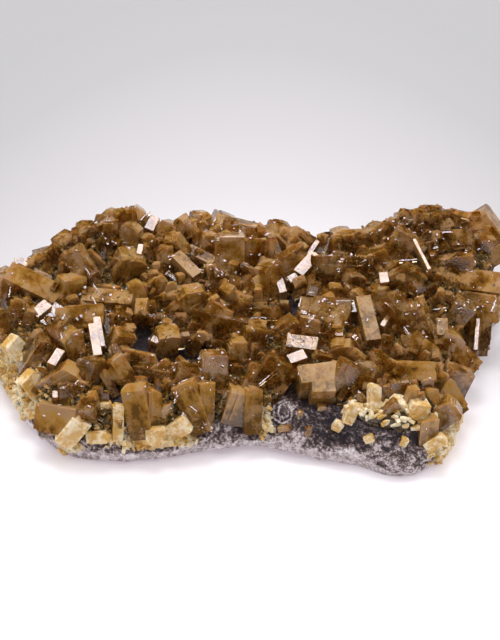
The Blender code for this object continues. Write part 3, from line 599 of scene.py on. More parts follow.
def block_faces():
    """Faces of a block, all facing out, by the numbers of its corners from the lowest level upwards."""
    faces = [tuple(reversed(range(BLOCK_CORNERS)))]
    for level in range(BLOCK_LEVELS - 1):
        low = level * BLOCK_CORNERS
        for i in range(BLOCK_CORNERS):
            j = (i + 1) % BLOCK_CORNERS
            faces.append((low + i, low + j, low + BLOCK_CORNERS + j, low + BLOCK_CORNERS + i))
    faces.append(tuple(range((BLOCK_LEVELS - 1) * BLOCK_CORNERS, BLOCK_LEVELS * BLOCK_CORNERS)))
    return faces


BLOCK_FACES = block_faces()


def block_points(low, high, end, edge):
    """Points of a block between two corners, with trimmed edges and slanting faces at its outer end."""
    cx, cy = (low.x + high.x) / 2.0, (low.y + high.y) / 2.0
    w, t = (high.x - low.x) / 2.0, (high.y - low.y) / 2.0
    edge = min(edge, 0.3 * w, 0.3 * t)
    tip_w, tip_t, fall = w * end[0], t * end[1], max(w * (1.0 - end[0]), t * (1.0 - end[1]), edge)
    fall = min(fall * end[2], 0.7 * (high.z - low.z))
    aside = end[3] * (w - tip_w)
    levels = [(w - edge, t - edge, low.z, 0.0), (w, t, low.z + edge, 0.0), (w, t, high.z - fall, 0.0)]
    levels.append((tip_w, tip_t, high.z - edge * 0.6, aside))
    levels.append((tip_w - edge * 0.8, tip_t - edge * 0.8, high.z, aside))
    points = []
    for wide, deep, z, shift in levels:
        c = min(edge, 0.45 * wide, 0.45 * deep)
        ring = [
            (wide, -deep + c), (wide, deep - c), (wide - c, deep), (-wide + c, deep),
            (-wide, deep - c), (-wide, -deep + c), (-wide + c, -deep), (wide - c, -deep),
        ]
        points += [Vector((cx + x + shift, cy + y, z)) for x, y in ring]
    return points


class Grower:
    """Collects closed blocks and joins them into one mesh, with what the material reads at each corner."""

    def __init__(self, name):
        self.name = name
        self.blocks = bpy.data.collections.new(name + "_blocks")
        bpy.context.scene.collection.children.link(self.blocks)

    def block(self, low, high, matrix, end, finish, origin=Vector(), edge=EDGE):
        """Add a block between two corners of the crystal's own space."""
        points = block_points(low, high, end, edge)
        mesh = bpy.data.meshes.new(self.name)
        mesh.from_pydata([matrix @ point for point in points], [], BLOCK_FACES)
        place = mesh.attributes.new("place", "FLOAT_COLOR", "CORNER")
        within = mesh.attributes.new("within", "FLOAT_COLOR", "CORNER")
        shade = mesh.attributes.new("finish", "FLOAT_COLOR", "CORNER")
        middle, half = (low + high) / 2.0, (high - low) / 2.0
        for corner, face_corner in enumerate(mesh.loops):
            point = points[face_corner.vertex_index]
            place.data[corner].color = (*(point + origin), 1.0)
            within.data[corner].color = (*[(point[i] - middle[i]) / half[i] for i in range(3)], 1.0)
            shade.data[corner].color = finish
        self.blocks.objects.link(bpy.data.objects.new(self.name, mesh))

    def crystal(self, size, matrix, end, rng, finish, steps, root=MIRROR_ROOT):
        """A crystal grown as parallel blocks of different reach, inside the given size and rooted below it.

        A crystal without steps is one block with a plain tip, for a face that mirrors the softbox.
        """
        length, width, thickness = (value / 2.0 for value in size)
        origin = Vector([rng.uniform(-500.0, 500.0) for _ in range(3)])
        if not steps:
            low, high = Vector((-width, -thickness - root, -length)), Vector((width, thickness, length))
            self.block(low, high, matrix, PLAIN_TIP, finish, origin, MIRROR_EDGE)
            return
        inner = Vector((width * rng.uniform(0.9, 0.97), thickness * rng.uniform(0.86, 0.95), length))
        high = Vector((inner.x, inner.y, length * rng.uniform(0.86, 0.96)))
        self.block(Vector((-inner.x, -thickness, -length * 1.25)), high, matrix, end, finish, origin)
        for step in range(steps):
            share, side = rng.uniform(0.3, 0.7), rng.choice((-1.0, 1.0))
            if step == 0:
                low_x, high_x, reach, depth = -width, width * rng.uniform(0.3, 0.85), length, thickness
            else:
                low_x, high_x = sorted((side * width * (1.0 - 2.0 * share), side * width))
                reach, depth = length * rng.uniform(0.72, 1.0), thickness * rng.uniform(0.9, 0.99)
            low = Vector((low_x, -thickness * rng.uniform(0.7, 0.96), -length * rng.uniform(0.6, 1.1)))
            self.block(low, Vector((high_x, depth, reach)), matrix, end, finish, origin)

    def joined(self):
        """The blocks as one closed mesh. The share of druse on each point is read from the finish."""
        first, *others = list(self.blocks.objects)
        self.blocks.objects.unlink(first)
        bpy.context.scene.collection.objects.link(first)
        if others:
            modifier = first.modifiers.new("Grown together", "BOOLEAN")
            modifier.operation = "UNION"
            modifier.solver = "MANIFOLD"
            modifier.operand_type = "COLLECTION"
            modifier.collection = self.blocks
        graph = bpy.context.evaluated_depsgraph_get()
        mesh = bpy.data.meshes.new_from_object(first.evaluated_get(graph))
        mesh.name = self.name
        for thing in (first, *others):
            bpy.data.objects.remove(thing)
        bpy.data.collections.remove(self.blocks)
        drop_hollows(mesh)
        druse = mesh.attributes.new("druse", "FLOAT", "POINT")
        finish = mesh.attributes["finish"].data
        for corner in mesh.loops:
            druse.data[corner.vertex_index].value = finish[corner.index].color[2]
        return mesh


def drop_hollows(mesh):
    """Take out closed shells that face inwards, which are gaps enclosed by the joined blocks."""
    bm = bmesh.new()
    bm.from_mesh(mesh)
    left, extra = set(bm.faces), []
    while left:
        stack, shell, volume = [left.pop()], [], 0.0
        while stack:
            face = stack.pop()
            shell.append(face)
            first, *others = (vertex.co for vertex in face.verts)
            volume += sum(first.dot(b.cross(c)) for b, c in zip(others, others[1:]))
            for edge in face.edges:
                for near in edge.link_faces:
                    if near in left:
                        left.remove(near)
                        stack.append(near)
        if volume < 0.0:
            extra += shell
    bmesh.ops.delete(bm, geom=extra, context="FACES")
    bm.to_mesh(mesh)
    bm.free()


def mark_root_shade(mesh):
    """Note for each point how far it stands out of the rock, from 0 at the roots to 1 at the tips; the golden
    material colours the roots darker with it, as painted shade.
    """
    tip = mesh.attributes.new("tip", "FLOAT", "POINT")
    for vertex in mesh.vertices:
        x, y, z = vertex.co
        height = z - canopy(x, y, 0.0)
        tip.data[vertex.index].value = smooth((height - ROOT_SHADE_HEIGHT) / (SHADE_FREE_HEIGHT - ROOT_SHADE_HEIGHT))


def glint_rows():
    """Pixel, length, width, turn and tilt of each small crystal that may catch the light."""
    rng = random.Random(GLINT_SEED)
    rows = [(*line, 0.5) for line in GLINT_LINES]
    for _ in range(GLINT_COUNT):
        px, py = rng.uniform(0.0, FRAME_PX[0]), rng.uniform(*GLINT_ROWS)
        length, narrow, turn = rng.uniform(0.3, 1.2), rng.uniform(0.35, 1.0), rng.uniform(-90.0, 90.0)
        if rng.random() < 0.1:
            length, narrow = length * 3.0, 0.15
        tilt = rng.gauss(0.0, 4.0)
        if rng.random() < 0.16 + 0.6 * share_near(px, py, GLINT_SPOTS):
            rows.append((px, py, length, length * narrow, turn, tilt))
    return rows


def glint_mesh(surface):
    """Small crystals set into the faces of the larger ones, each with a face that mirrors the softbox."""
    points, faces = [], []
    corners = [(x, y, z) for z in (-0.5, 0.5) for x, y in ((-1, -1), (1, -1), (1, 1), (-1, 1))]
    for px, py, length, width, turn, tilt in glint_rows():
        found, spot, _, _ = surface.ray_cast(TO_FRAME @ EYE, view_ray(px, py).normalized())
        if not found:
            continue
        at = TO_FRAME.inverted() @ spot
        matrix = placement(at, axes_from_view(at, turn, BRIGHT, 0))
        matrix = matrix @ Matrix.Rotation(math.radians(tilt), 4, "Z")
        low, high = -GLINT_ROOT, 0.15 + 0.15 * width
        faces += [tuple(len(points) + i for i in face) for face in BOX_FACES]
        for x, y, z in corners:
            points.append(matrix @ Vector((x * width / 2.0, low if y < 0 else high, z * length)))
    mesh = bpy.data.meshes.new("glints")
    mesh.from_pydata(points, [], faces)
    return mesh


# The pieces

def place_piece(name, mesh, material, to_frame=TO_FRAME):
    """Take a mesh from design millimetres to the frame, keep it in the solid's box and make it a piece."""
    mesh.transform(to_frame)
    low, high = CAD_BOX
    for vertex in mesh.vertices:
        vertex.co = Vector([min(max(vertex.co[i], low[i]), high[i]) for i in range(3)])
    mesh.name = name
    mesh.materials.clear()
    mesh.materials.append(material)
    piece = bpy.data.objects.new(name, mesh)
    bpy.context.scene.collection.objects.link(piece)
    return piece


def declare(piece, slot, *nodes):
    """Let a piece ride on the body and stand for its nodes, which are hidden. The slot is not used."""
    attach(piece, BODY)
    if nodes:
        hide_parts(*nodes)


# The crystals

def end_faces(rng, cut):
    """Shares of width and thickness left at a tip, how steep the faces to it are, and its shift aside."""
    if cut:
        thick, steep = rng.choice((1.0, 1.0, 0.8)), rng.uniform(0.6, 1.1)
        return (1.0 - cut, thick, steep, rng.choice((-1.0, -0.5, 0.0, 1.0)))
    return (rng.choice((1.0, 0.92)), rng.choice((1.0, 0.9, 0.7)), 1.0, 0.0)


def main_crystals():
    """The crystals read from the view, as row, size, matrix and end cut, none of them hiding a mirror."""
    mains = list(read_crystals())
    for crystal, size, matrix, _ in mains:
        if crystal.lean not in MIRRORS and hides_mirror(size, matrix, mains, 2):
            matrix.translation -= TOWARDS * MAIN_SINK
    return mains


def read_crystals():
    """The crystals read from the view, where it shows them."""
    rng = random.Random(FILL_SEED)
    for row in BACK_CRYSTALS + LEFT_CRYSTALS + MIDDLE_CRYSTALS + RIGHT_CRYSTALS:
        crystal = Crystal(*row)
        rise = min(CANOPY, 0.42 * crystal.length)
        at = seen_point(crystal.px, crystal.py, lambda x, y: canopy(x, y, rise))
        axes = axes_from_view(at, crystal.turn, crystal.lean, crystal.spin)
        at -= axes[1] * crystal.thickness * 0.3
        size = (crystal.length, crystal.width, crystal.thickness)
        cut = 0.0
        if crystal.lean in MIRRORS:
            at += (EYE - at).normalized() * (MIRROR_LIFT + CANOPY - rise)
        else:
            longer = 1.35 if crystal.length < SHORT and crystal.py < STRETCH_PX else 1.1
            size = (crystal.length * longer, crystal.width, crystal.thickness * 1.1)
            cut = rng.choice((0.0, 0.4, 0.6)) * (size[0] < 20.0)
        matrix = placement(at, axes)
        sink(size, matrix, MAIN_OVER)
        tuck(size, matrix)
        yield crystal, size, matrix, cut


def jittered(spacing, rows, columns, jitter, rng):
    """Points on a triangular grid over all the plate, each moved a little aside."""
    row_step = spacing * math.sqrt(0.75)
    for row in range(-rows, rows):
        for column in range(-columns, columns + 1):
            x = (column + 0.5 * (row % 2)) * spacing + rng.uniform(-jitter, jitter)
            yield x, row * row_step + rng.uniform(-jitter, jitter)


def fill_crystals(taken):
    """Crystals between and behind the others, on a jittered grid over all the crust."""
    rng = random.Random(FILL_SEED)
    for x, y in jittered(FILL_SPACING, *FILL_GRID, FILL_JITTER, rng):
        size = [rng.uniform(*span) for span in FILL_SIZE]
        lean, heading = abs(rng.gauss(0.0, FILL_LEAN)), rng.uniform(0.0, math.tau)
        spin, cut = rng.uniform(0.0, math.pi), rng.choice((0.0, 0.4, 0.6))
        fraction, angle = ring_fraction(x, y)
        if fraction > crust_edge(angle) - 0.02:
            continue
        at = Vector((x, y, rock_top(x, y) + CANOPY * 0.75))
        if share_at(at, DARK_GAPS) > 0.5 or any((at - other).length < reach for other, reach in taken):
            continue
        outward = smooth((fraction - 0.6) / 0.4)
        upright = Vector((math.cos(angle) * outward, math.sin(angle) * outward, 1.0)).normalized()
        tipped = Vector((math.cos(heading), math.sin(heading), 0.0)) * math.sin(math.radians(lean))
        axis = (upright * math.cos(math.radians(lean)) + tipped).normalized()
        side = Matrix.Rotation(spin, 3, axis) @ axis.orthogonal().normalized()
        matrix = placement(at, (side.cross(axis), side, axis))
        sink(size, matrix, FILL_OVER)
        tuck(size, matrix)
        yield size, matrix, cut


def grow_all(golden, cream):
    """Every crystal of the cluster, with small ones at its side, into the golden or the cream mesh."""
    rng = random.Random(GROWTH_SEED)
    mains = main_crystals()
    taken = [(matrix.translation, 0.42 * size[0] + 2.4) for _, size, matrix, _ in mains]
    for crystal, size, matrix, cut in mains:
        here = (crystal.px, crystal.py)
        mirrored = crystal.lean in MIRRORS
        grower = cream if here in CREAM_PX else golden
        light = 0.85 if here in TAN_PX else rng.uniform(0.15, 0.7)
        cloud = CLOUDED if mirrored or crystal.py > FRONT_PX else rng.random()
        finish = (0.0 if mirrored else light, cloud, 1.0 if here in DRUSY_PX else 0.0, 1.0)
        at_back = crystal.py < height_along(SKYLINE, crystal.px) + BACK_PX
        steps = 0 if mirrored else rng.choice((2, 3, 4))
        if grower is cream:
            size = tuple(value * CREAM_SHARE for value in size)
        root = MIRROR_ROOT * (0.3 if at_back else 1.0)
        grower.crystal(size, matrix, end_faces(rng, cut), rng, finish, steps, root)
        for _ in range(0 if mirrored else rng.choice((0, 1, 1, 2)) + 6 * (grower is cream)):
            young(grower, size, matrix, rng, finish, mains)
    for size, matrix, cut in fill_crystals(taken):
        finish = (rng.uniform(0.1, 0.6), rng.random(), 0.0, 1.0)
        if covers_another(matrix.translation, 0.4 * size[1], mains) or hides_mirror(size, matrix, mains):
            matrix.translation -= TOWARDS * FILL_SINK
        golden.crystal(size, matrix, end_faces(rng, cut), rng, finish, rng.choice((2, 3)))
        young(golden, size, matrix, rng, finish, mains)
    for size, matrix in gap_crystals(mains):
        finish = (rng.uniform(0.0, 0.55), rng.random(), 0.0, 1.0)
        golden.crystal(size, matrix, end_faces(rng, rng.choice((0.0, 0.0, 0.5))), rng, finish, 1)


def gap_crystals(mains):
    """Small crystals between the larger ones, most of them turned much like the nearest of those."""
    rng = random.Random(GAP_SEED)
    for x, y in jittered(GAP_SPACING, *GAP_GRID, GAP_JITTER, rng):
        size = [rng.uniform(*span) for span in GAP_SIZE]
        lean, heading, spin = rng.gauss(0.0, GAP_LEAN), rng.uniform(0.0, math.tau), rng.uniform(0.0, math.tau)
        slant = [math.radians(rng.gauss(0.0, GAP_SLANT)) for _ in range(3)]
        height, parallel = rng.uniform(3.0, 8.0), rng.random() < 0.65
        fraction, angle = ring_fraction(x, y)
        if fraction > crust_edge(angle) - 0.03:
            continue
        at = Vector((x, y, rock_top(x, y) + height + 4.0 * smooth((math.sin(angle) * fraction - 0.2) / 0.3)))
        if share_at(at, DARK_GAPS) > 0.8:
            continue
        if parallel:
            nearest = min(mains, key=lambda main: (main[2].translation - at).length)[2]
            matrix = nearest.to_3x3().to_4x4() @ Euler(slant).to_matrix().to_4x4()
        else:
            turn = Matrix.Rotation(heading, 4, "Z") @ Matrix.Rotation(math.radians(lean), 4, "X")
            matrix = turn @ Matrix.Rotation(spin, 4, "Z")
        matrix.translation = at
        sink(size, matrix, FILL_OVER)
        tuck(size, matrix)
        if covers_another(at, 0.4 * size[1], mains):
            matrix.translation -= TOWARDS * FILL_SINK * 0.7
        if not hides_mirror(size, matrix, mains):
            yield size, matrix


def shown_inside(crystal, size, pixel, reach):
    """Whether the view shows a crystal read from it at this pixel, or within a reach in mm of there."""
    turn = math.radians(crystal.turn)
    right, up = (pixel[0] - crystal.px) * VIEW_SCALE, (crystal.py - pixel[1]) * VIEW_SCALE
    along, across = right * math.sin(turn) + up * math.cos(turn), right * math.cos(turn) - up * math.sin(turn)
    return abs(along) < 0.45 * size[0] + reach and abs(across) < 0.45 * size[1] + reach


def covers_another(at, reach, mains):
    """Whether a crystal here would stand before one that was read from the view."""
    pixel = pixel_of(at)
    for crystal, size, matrix, _ in mains:
        near = (EYE - at).length < (EYE - matrix.translation).length + 3.0
        if near and shown_inside(crystal, size, pixel, 0.5 * reach):
            return True
    return False


def hides_mirror(size, matrix, mains, allowed=0):
    """Whether more than so many sample points of a crystal would stand before one of the mirroring faces."""
    half = [0.43 * value for value in size]
    steps = (-1.0, -0.5, 0.0, 0.5, 1.0)
    points = [(x * half[1], y * half[2], z * half[0]) for x in (-1, 0, 1) for y in (-1, 1) for z in steps]
    distance, middle = (EYE - matrix.translation).length, pixel_of(matrix.translation)
    for crystal, mirror_size, mirror_matrix, _ in mains:
        far = math.dist(middle, (crystal.px, crystal.py)) * VIEW_SCALE > (size[0] + mirror_size[0]) * 0.8
        if crystal.lean not in MIRRORS or far or distance > (EYE - mirror_matrix.translation).length + 4.0:
            continue
        seen = [pixel_of(matrix @ Vector(point)) for point in points]
        if sum(shown_inside(crystal, mirror_size, pixel, 0.0) for pixel in seen) > allowed:
            return True
    return False


def young(grower, size, matrix, rng, finish, mains):
    """A smaller crystal that grows from the side of a larger one."""
    share = rng.uniform(0.28, 0.5)
    small = [value * share * rng.uniform(0.8, 1.25) for value in size]
    small[0] *= 1.3
    side = rng.choice((-1.0, 1.0))
    at = Vector((side * size[1] * 0.5, size[2] * rng.uniform(-0.35, 0.35), size[0] * rng.uniform(-0.3, 0.18)))
    turn = Euler([math.radians(rng.gauss(0.0, YOUNG_SLANT)) for _ in range(3)]).to_matrix().to_4x4()
    turn.translation = at
    shade = min(max(finish[0] + rng.uniform(-0.2, 0.2), 0.0), 1.0)
    if covers_another(matrix @ at, 0.4 * small[1], mains) or hides_mirror(small, matrix @ turn, mains):
        return
    end = end_faces(rng, rng.choice((0.0, 0.4)))
    grower.crystal(small, matrix @ turn, end, rng, (shade, rng.random(), 0.0, 1.0), 1)


# The rock and the sheet of roots

def ringed_mesh(rings, name):
    """A closed mesh from rings of as many points each, from the top's middle to the base's middle."""
    mesh = bpy.data.meshes.new(name)
    bm = bmesh.new()
    rows = [[bm.verts.new(Vector(point)) for point in ring] for ring in rings[1:-1]]
    first, last = (bm.verts.new(Vector(ring[0])) for ring in (rings[0], rings[-1]))
    count = len(rows[0])
    for i in range(count):
        j = (i + 1) % count
        bm.faces.new((first, rows[0][i], rows[0][j]))
        bm.faces.new((last, rows[-1][j], rows[-1][i]))
        for upper, lower in zip(rows, rows[1:]):
            bm.faces.new((upper[i], lower[i], lower[j], upper[j]))
    bmesh.ops.recalc_face_normals(bm, faces=bm.faces)
    bm.to_mesh(mesh)
    bm.free()
    return mesh


def craggy(point, normal):
    """The rock's broken surface: lumps, ledges and grains pushed out along its normal."""
    x, y, z = point
    coarse = LUMP * 0.9 * lump(x, y, z)
    ledges = 1.1 * (abs(lump(x, y, z * 1.6, 6.0)) - 0.4)
    grains = 0.45 * lump(x, y, z, 2.4) + 0.18 * lump(x, y, z, 0.9)
    return point + normal * (coarse - ledges + grains - 0.35)


def rock_mesh():
    """The host rock: its lumpy top, the broken side with its ledges, and the flat base."""
    angles = [math.tau * i / ROCK_RAYS for i in range(ROCK_RAYS)]
    rings = [[(CENTRE.x, CENTRE.y, rock_top(*CENTRE))]]
    for step in range(1, ROCK_TOP_RINGS + 1):
        fraction = 0.99 * (1.0 - (1.0 - step / ROCK_TOP_RINGS) ** 1.5)
        rings.append([(*plan(a, fraction), rock_top(*plan(a, fraction))) for a in angles])
    for step in range(ROCK_SIDE_RINGS):
        share = 0.9 - 0.9 * step / (ROCK_SIDE_RINGS - 1)
        ring = []
        for angle in angles:
            x, y = plan(angle, 1.0 + 0.008 * math.sin(math.pi * share) - 0.02 * (1.0 - share) ** 3)
            low = underside(x, y)
            ring.append((x, y, low + (RIM_HEIGHT - low) * share))
        rings.append(ring)
    for fraction in ROCK_BASE_RINGS:
        rings.append([(*plan(a, fraction), underside(*plan(a, fraction))) for a in angles])
    rings.append([(CENTRE.x, CENTRE.y, 0.0)])
    mesh = ringed_mesh(rings, "rock")
    normals = [vertex.normal.copy() for vertex in mesh.vertices]
    for vertex, normal in zip(mesh.vertices, normals):
        if normal.z > -0.5 and vertex.co.z > 0.01:
            vertex.co = craggy(vertex.co.copy(), normal)
            vertex.co.z = max(vertex.co.z, 0.15)
    rind = mesh.attributes.new("rind", "FLOAT", "POINT")
    cream = mesh.attributes.new("cream", "FLOAT", "POINT")
    low = mesh.attributes.new("low", "FLOAT", "POINT")
    for vertex in mesh.vertices:
        px, _ = pixel_of(vertex.co)
        # The low share is painted shade: lighter near the floor, darker up under the crystals and darkest in
        # the gaps between them.
        low.data[vertex.index].value = smooth((16.0 - vertex.co.z) / 14.0) - share_at(vertex.co, DARK_GAPS)
        reach = RIND_HEIGHT * (1.0 + 0.5 * bump(px, *RIND_HIGH_PX) - 0.7 * bump(px, *RIND_LOW_PX))
        rind.data[vertex.index].value = smooth(0.5 + (reach - vertex.co.z) / 3.0)
        cream.data[vertex.index].value = share_at(vertex.co, CREAM_SPOTS)
    return mesh


def bed_mesh():
    """The crystals' intergrown roots: a sheet over the rock that sinks into it at its edge and in gaps."""
    angles = [math.tau * i / BED_RAYS for i in range(BED_RAYS)]
    top_middle = rock_top(*CENTRE)
    upper, lower = [[(CENTRE.x, CENTRE.y, top_middle + BED_DEPTH)]], []
    for step in range(1, BED_RINGS + 1):
        share = step / BED_RINGS
        top, bottom = [], []
        for angle in angles:
            x, y = plan(angle, crust_edge(angle) * share)
            z = rock_top(x, y)
            gap = share_at(Vector((x, y, z + 2.0)), DARK_GAPS)
            rim = smooth((1.0 - share) / 0.04)
            height = BED_DEPTH * (1.0 + 0.35 * lump(x, y, 0.0, 6.0)) + 0.5 * lump(x, y, 5.0, 1.8)
            height *= 1.0 - 0.4 * smooth(y / 25.0)
            top.append((x, y, z + height * (1.0 - gap) * (0.35 + 0.65 * rim) - 2.2 * gap - 1.4 * (1.0 - rim)))
            bottom.append((x, y, z - BED_ROOT))
        upper.append(top)
        lower.append(bottom)
    lower.reverse()
    mesh = ringed_mesh(upper + lower + [[(CENTRE.x, CENTRE.y, top_middle - BED_ROOT)]], "crystal_bed")
    count = len(upper) * BED_RAYS
    golden = mesh.attributes.new("golden", "FLOAT", "POINT")
    cream = mesh.attributes.new("cream", "FLOAT", "POINT")
    for i, vertex in enumerate(mesh.vertices):
        if i > count or vertex.normal.z < 0.1:
            continue
        point = vertex.co
        pale = creaminess(point)
        shown = smooth((point.z - rock_top(point.x, point.y) - 0.6) / 1.2)
        golden.data[i].value = (1.0 - pale) * shown
        cream.data[i].value = pale * shown
    return mesh


def creaminess(point):
    """1 where the crust is cream and opaque, along the front at the left and at the lower right."""
    px, py = pixel_of(point)
    shares = []
    for first, first_fade, last, last_fade, top, top_fade, fall in CREAM_BANDS:
        within = smooth((last - px) / last_fade) * smooth((px - first) / first_fade)
        shares.append(smooth((py - top - fall * px) / top_fade) * within)
    return max(shares)


# The strewn crystals

def bud_mesh(name, parts):
    """A small crystal of a few parallel blocks, one unit long, for scattering."""
    grower = Grower(name)
    for low, high, end in parts:
        grower.block(Vector(low), Vector(high), Matrix.Identity(4), end, TWIN_FINISH, edge=TWIN_EDGE)
    return grower.joined()


def blade_mesh(name, wide, deep, tip):
    """A plain blade one unit long, narrower towards its tip, for the many small crystals of the druse."""
    mesh = bpy.data.meshes.new(name)
    corners = ((-0.5, -0.5), (0.5, -0.5), (0.5, 0.5), (-0.5, 0.5))
    points = [
        (x * wide * share, y * deep * share, z)
        for z, share in ((-0.5, 1.0), (0.5, tip)) for x, y in corners
    ]
    mesh.from_pydata(points, [], BOX_FACES)
    return mesh


def add_node(tree, kind, inputs=None, stops=(), **settings):
    """Add a node, set what it holds and its ramp's stops, and fill its inputs with values or with links."""
    node = tree.nodes.new(kind)
    for key, value in settings.items():
        setattr(node, key, value)
    for key, value in (inputs or {}).items():
        if isinstance(value, bpy.types.NodeSocket):
            tree.links.new(value, node.inputs[key])
        else:
            node.inputs[key].default_value = value
    for _ in stops[2:]:
        node.color_ramp.elements.new(0.5)
    for i, (position, colour) in enumerate(stops):
        node.color_ramp.elements[i].position = position
        node.color_ramp.elements[i].color = (*colour, 1.0)
    return node


def scatter_tree():
    """Nodes that strew small crystals over the faces of a surface, as thickly as an attribute of it says."""
    tree = bpy.data.node_groups.new("Strewn crystals", "GeometryNodeTree")
    for name, kind in (
            ("Geometry", "Geometry"), ("Crystal", "Object"), ("Where", "String"), ("Density", "Float"),
            ("Smallest", "Float"), ("Largest", "Float"), ("Tilt", "Float"), ("Seed", "Int"),
            ("Material", "Material")):
        tree.interface.new_socket(name, in_out="INPUT", socket_type="NodeSocket" + kind)
    tree.interface.new_socket("Geometry", in_out="OUTPUT", socket_type="NodeSocketGeometry")
    given = add_node(tree, "NodeGroupInput").outputs
    where = add_node(tree, "GeometryNodeInputNamedAttribute", {"Name": given["Where"]}, data_type="FLOAT")
    density = add_node(
        tree, "ShaderNodeMath", {0: where.outputs["Attribute"], 1: given["Density"]}, operation="MULTIPLY")
    points = add_node(tree, "GeometryNodeDistributePointsOnFaces", {
        "Mesh": given["Geometry"], "Density": density.outputs[0], "Seed": given["Seed"]}).outputs
    upright = add_node(tree, "FunctionNodeAlignRotationToVector", {"Vector": points["Normal"]}, axis="Z")
    less = add_node(tree, "ShaderNodeMath", {0: given["Tilt"], 1: -1.0}, operation="MULTIPLY").outputs[0]
    lowest = add_node(tree, "ShaderNodeCombineXYZ", {0: less, 1: less, 2: -math.pi})
    highest = add_node(tree, "ShaderNodeCombineXYZ", {0: given["Tilt"], 1: given["Tilt"], 2: math.pi})
    turn = add_node(tree, "FunctionNodeRandomValue", {
        "Min": lowest.outputs[0], "Max": highest.outputs[0], "Seed": given["Seed"]}, data_type="FLOAT_VECTOR")
    turned = add_node(tree, "FunctionNodeRotateRotation", {
        "Rotation": upright.outputs[0], "Rotate By": turn.outputs["Value"]}, rotation_space="LOCAL")
    stretch = add_node(tree, "FunctionNodeRandomValue", {
        "Min": (0.75, 0.65, 0.8), "Max": (1.25, 1.0, 1.3), "Seed": given["Seed"]}, data_type="FLOAT_VECTOR")
    size = add_node(tree, "FunctionNodeRandomValue", {
        2: given["Smallest"], 3: given["Largest"], "Seed": given["Seed"]}, data_type="FLOAT")
    scale = add_node(tree, "ShaderNodeVectorMath", {
        0: stretch.outputs["Value"], "Scale": size.outputs[1]}, operation="SCALE")
    crystal = add_node(tree, "GeometryNodeObjectInfo", {"Object": given["Crystal"]})
    placed = add_node(tree, "GeometryNodeInstanceOnPoints", {
        "Points": points["Points"], "Instance": crystal.outputs["Geometry"], "Rotation": turned.outputs[0],
        "Scale": scale.outputs[0]})
    shade = add_node(tree, "FunctionNodeRandomValue", {2: 0.0, 3: 1.0, "Seed": 3}, data_type="FLOAT")
    shaded = add_node(tree, "GeometryNodeStoreNamedAttribute", {
        "Geometry": placed.outputs[0], "Name": "shade", "Value": shade.outputs[1]},
        data_type="FLOAT", domain="INSTANCE")
    real = add_node(tree, "GeometryNodeRealizeInstances", {"Geometry": shaded.outputs[0]})
    painted = add_node(tree, "GeometryNodeSetMaterial", {
        "Geometry": real.outputs[0], "Material": given["Material"]})
    add_node(tree, "NodeGroupOutput", {"Geometry": painted.outputs[0]})
    return tree


def strew(name, tree, surface, bud, material, settings):
    """A piece of the small crystals that the tree strews over a surface. Sizes are in metres."""
    helper = bpy.data.objects.new(name + "_surface", surface.data)
    shape = bpy.data.objects.new(name + "_shape", bud)
    for thing in (helper, shape):
        bpy.context.scene.collection.objects.link(thing)
    modifier = helper.modifiers.new("Strewn crystals", "NODES")
    modifier.node_group = tree
    values = {"Crystal": shape, "Material": material, **settings}
    for item in tree.interface.items_tree:
        if item.in_out == "INPUT" and item.name in values:
            modifier[item.identifier] = values[item.name]
    graph = bpy.context.evaluated_depsgraph_get()
    mesh = bpy.data.meshes.new_from_object(helper.evaluated_get(graph))
    for thing in (helper, shape):
        bpy.data.objects.remove(thing)
    return place_piece(name, mesh, material, Matrix.Identity(4))


# The materials

def per_metre(millimetres):
    """Texture scale that gives features of this size in object coordinates."""
    return 1000.0 / millimetres


def new_material(name):
    """An empty node material, and its tree."""
    material = bpy.data.materials.new(name)
    material.use_nodes = True
    tree = material.node_tree
    tree.nodes.clear()
    return material, tree


def weighted(tree, *parts):
    """The sum of several patterns, each one's distance from its middle times an amount."""
    result = -sum(middle * amount for _, middle, amount in parts)
    for pattern, _, amount in parts:
        terms = {0: pattern, 1: amount, 2: result}
        result = add_node(tree, "ShaderNodeMath", terms, operation="MULTIPLY_ADD").outputs[0]
    return result


def sugary_normal(tree, here, plain, cover, cell, tilt):
    """A normal that turns a little in each cell of a size in mm where the cover is 1, as druse makes it."""
    cells = add_node(tree, "ShaderNodeTexVoronoi", {"Vector": here, "Scale": per_metre(cell)})
    turn = add_node(tree, "ShaderNodeVectorMath", {
        0: cells.outputs["Color"], 1: (0.5, 0.5, 0.5)}, operation="SUBTRACT")
    amount = add_node(tree, "ShaderNodeMath", {0: cover, 1: tilt}, operation="MULTIPLY")
    turn = add_node(tree, "ShaderNodeVectorMath", {
        0: turn.outputs[0], "Scale": amount.outputs[0]}, operation="SCALE")
    turned = add_node(tree, "ShaderNodeVectorMath", {0: plain, 1: turn.outputs[0]}, operation="ADD")
    return add_node(tree, "ShaderNodeVectorMath", {0: turned.outputs[0]}, operation="NORMALIZE").outputs[0]


def near_edge(tree):
    """How near a point of a block's face is to the face's edge: 0 in its middle and 1 at the edge."""
    within = add_node(tree, "ShaderNodeAttribute", attribute_name="within").outputs["Vector"]
    within = add_node(tree, "ShaderNodeVectorMath", {0: within}, operation="ABSOLUTE").outputs[0]
    x, y, z = add_node(tree, "ShaderNodeSeparateXYZ", {"Vector": within}).outputs
    least = add_node(tree, "ShaderNodeMath", {0: x, 1: y}, operation="MINIMUM").outputs[0]
    most = add_node(tree, "ShaderNodeMath", {0: x, 1: y}, operation="MAXIMUM").outputs[0]
    most = add_node(tree, "ShaderNodeMath", {0: most, 1: z}, operation="MINIMUM").outputs[0]
    return add_node(tree, "ShaderNodeMath", {0: least, 1: most}, operation="MAXIMUM").outputs[0]


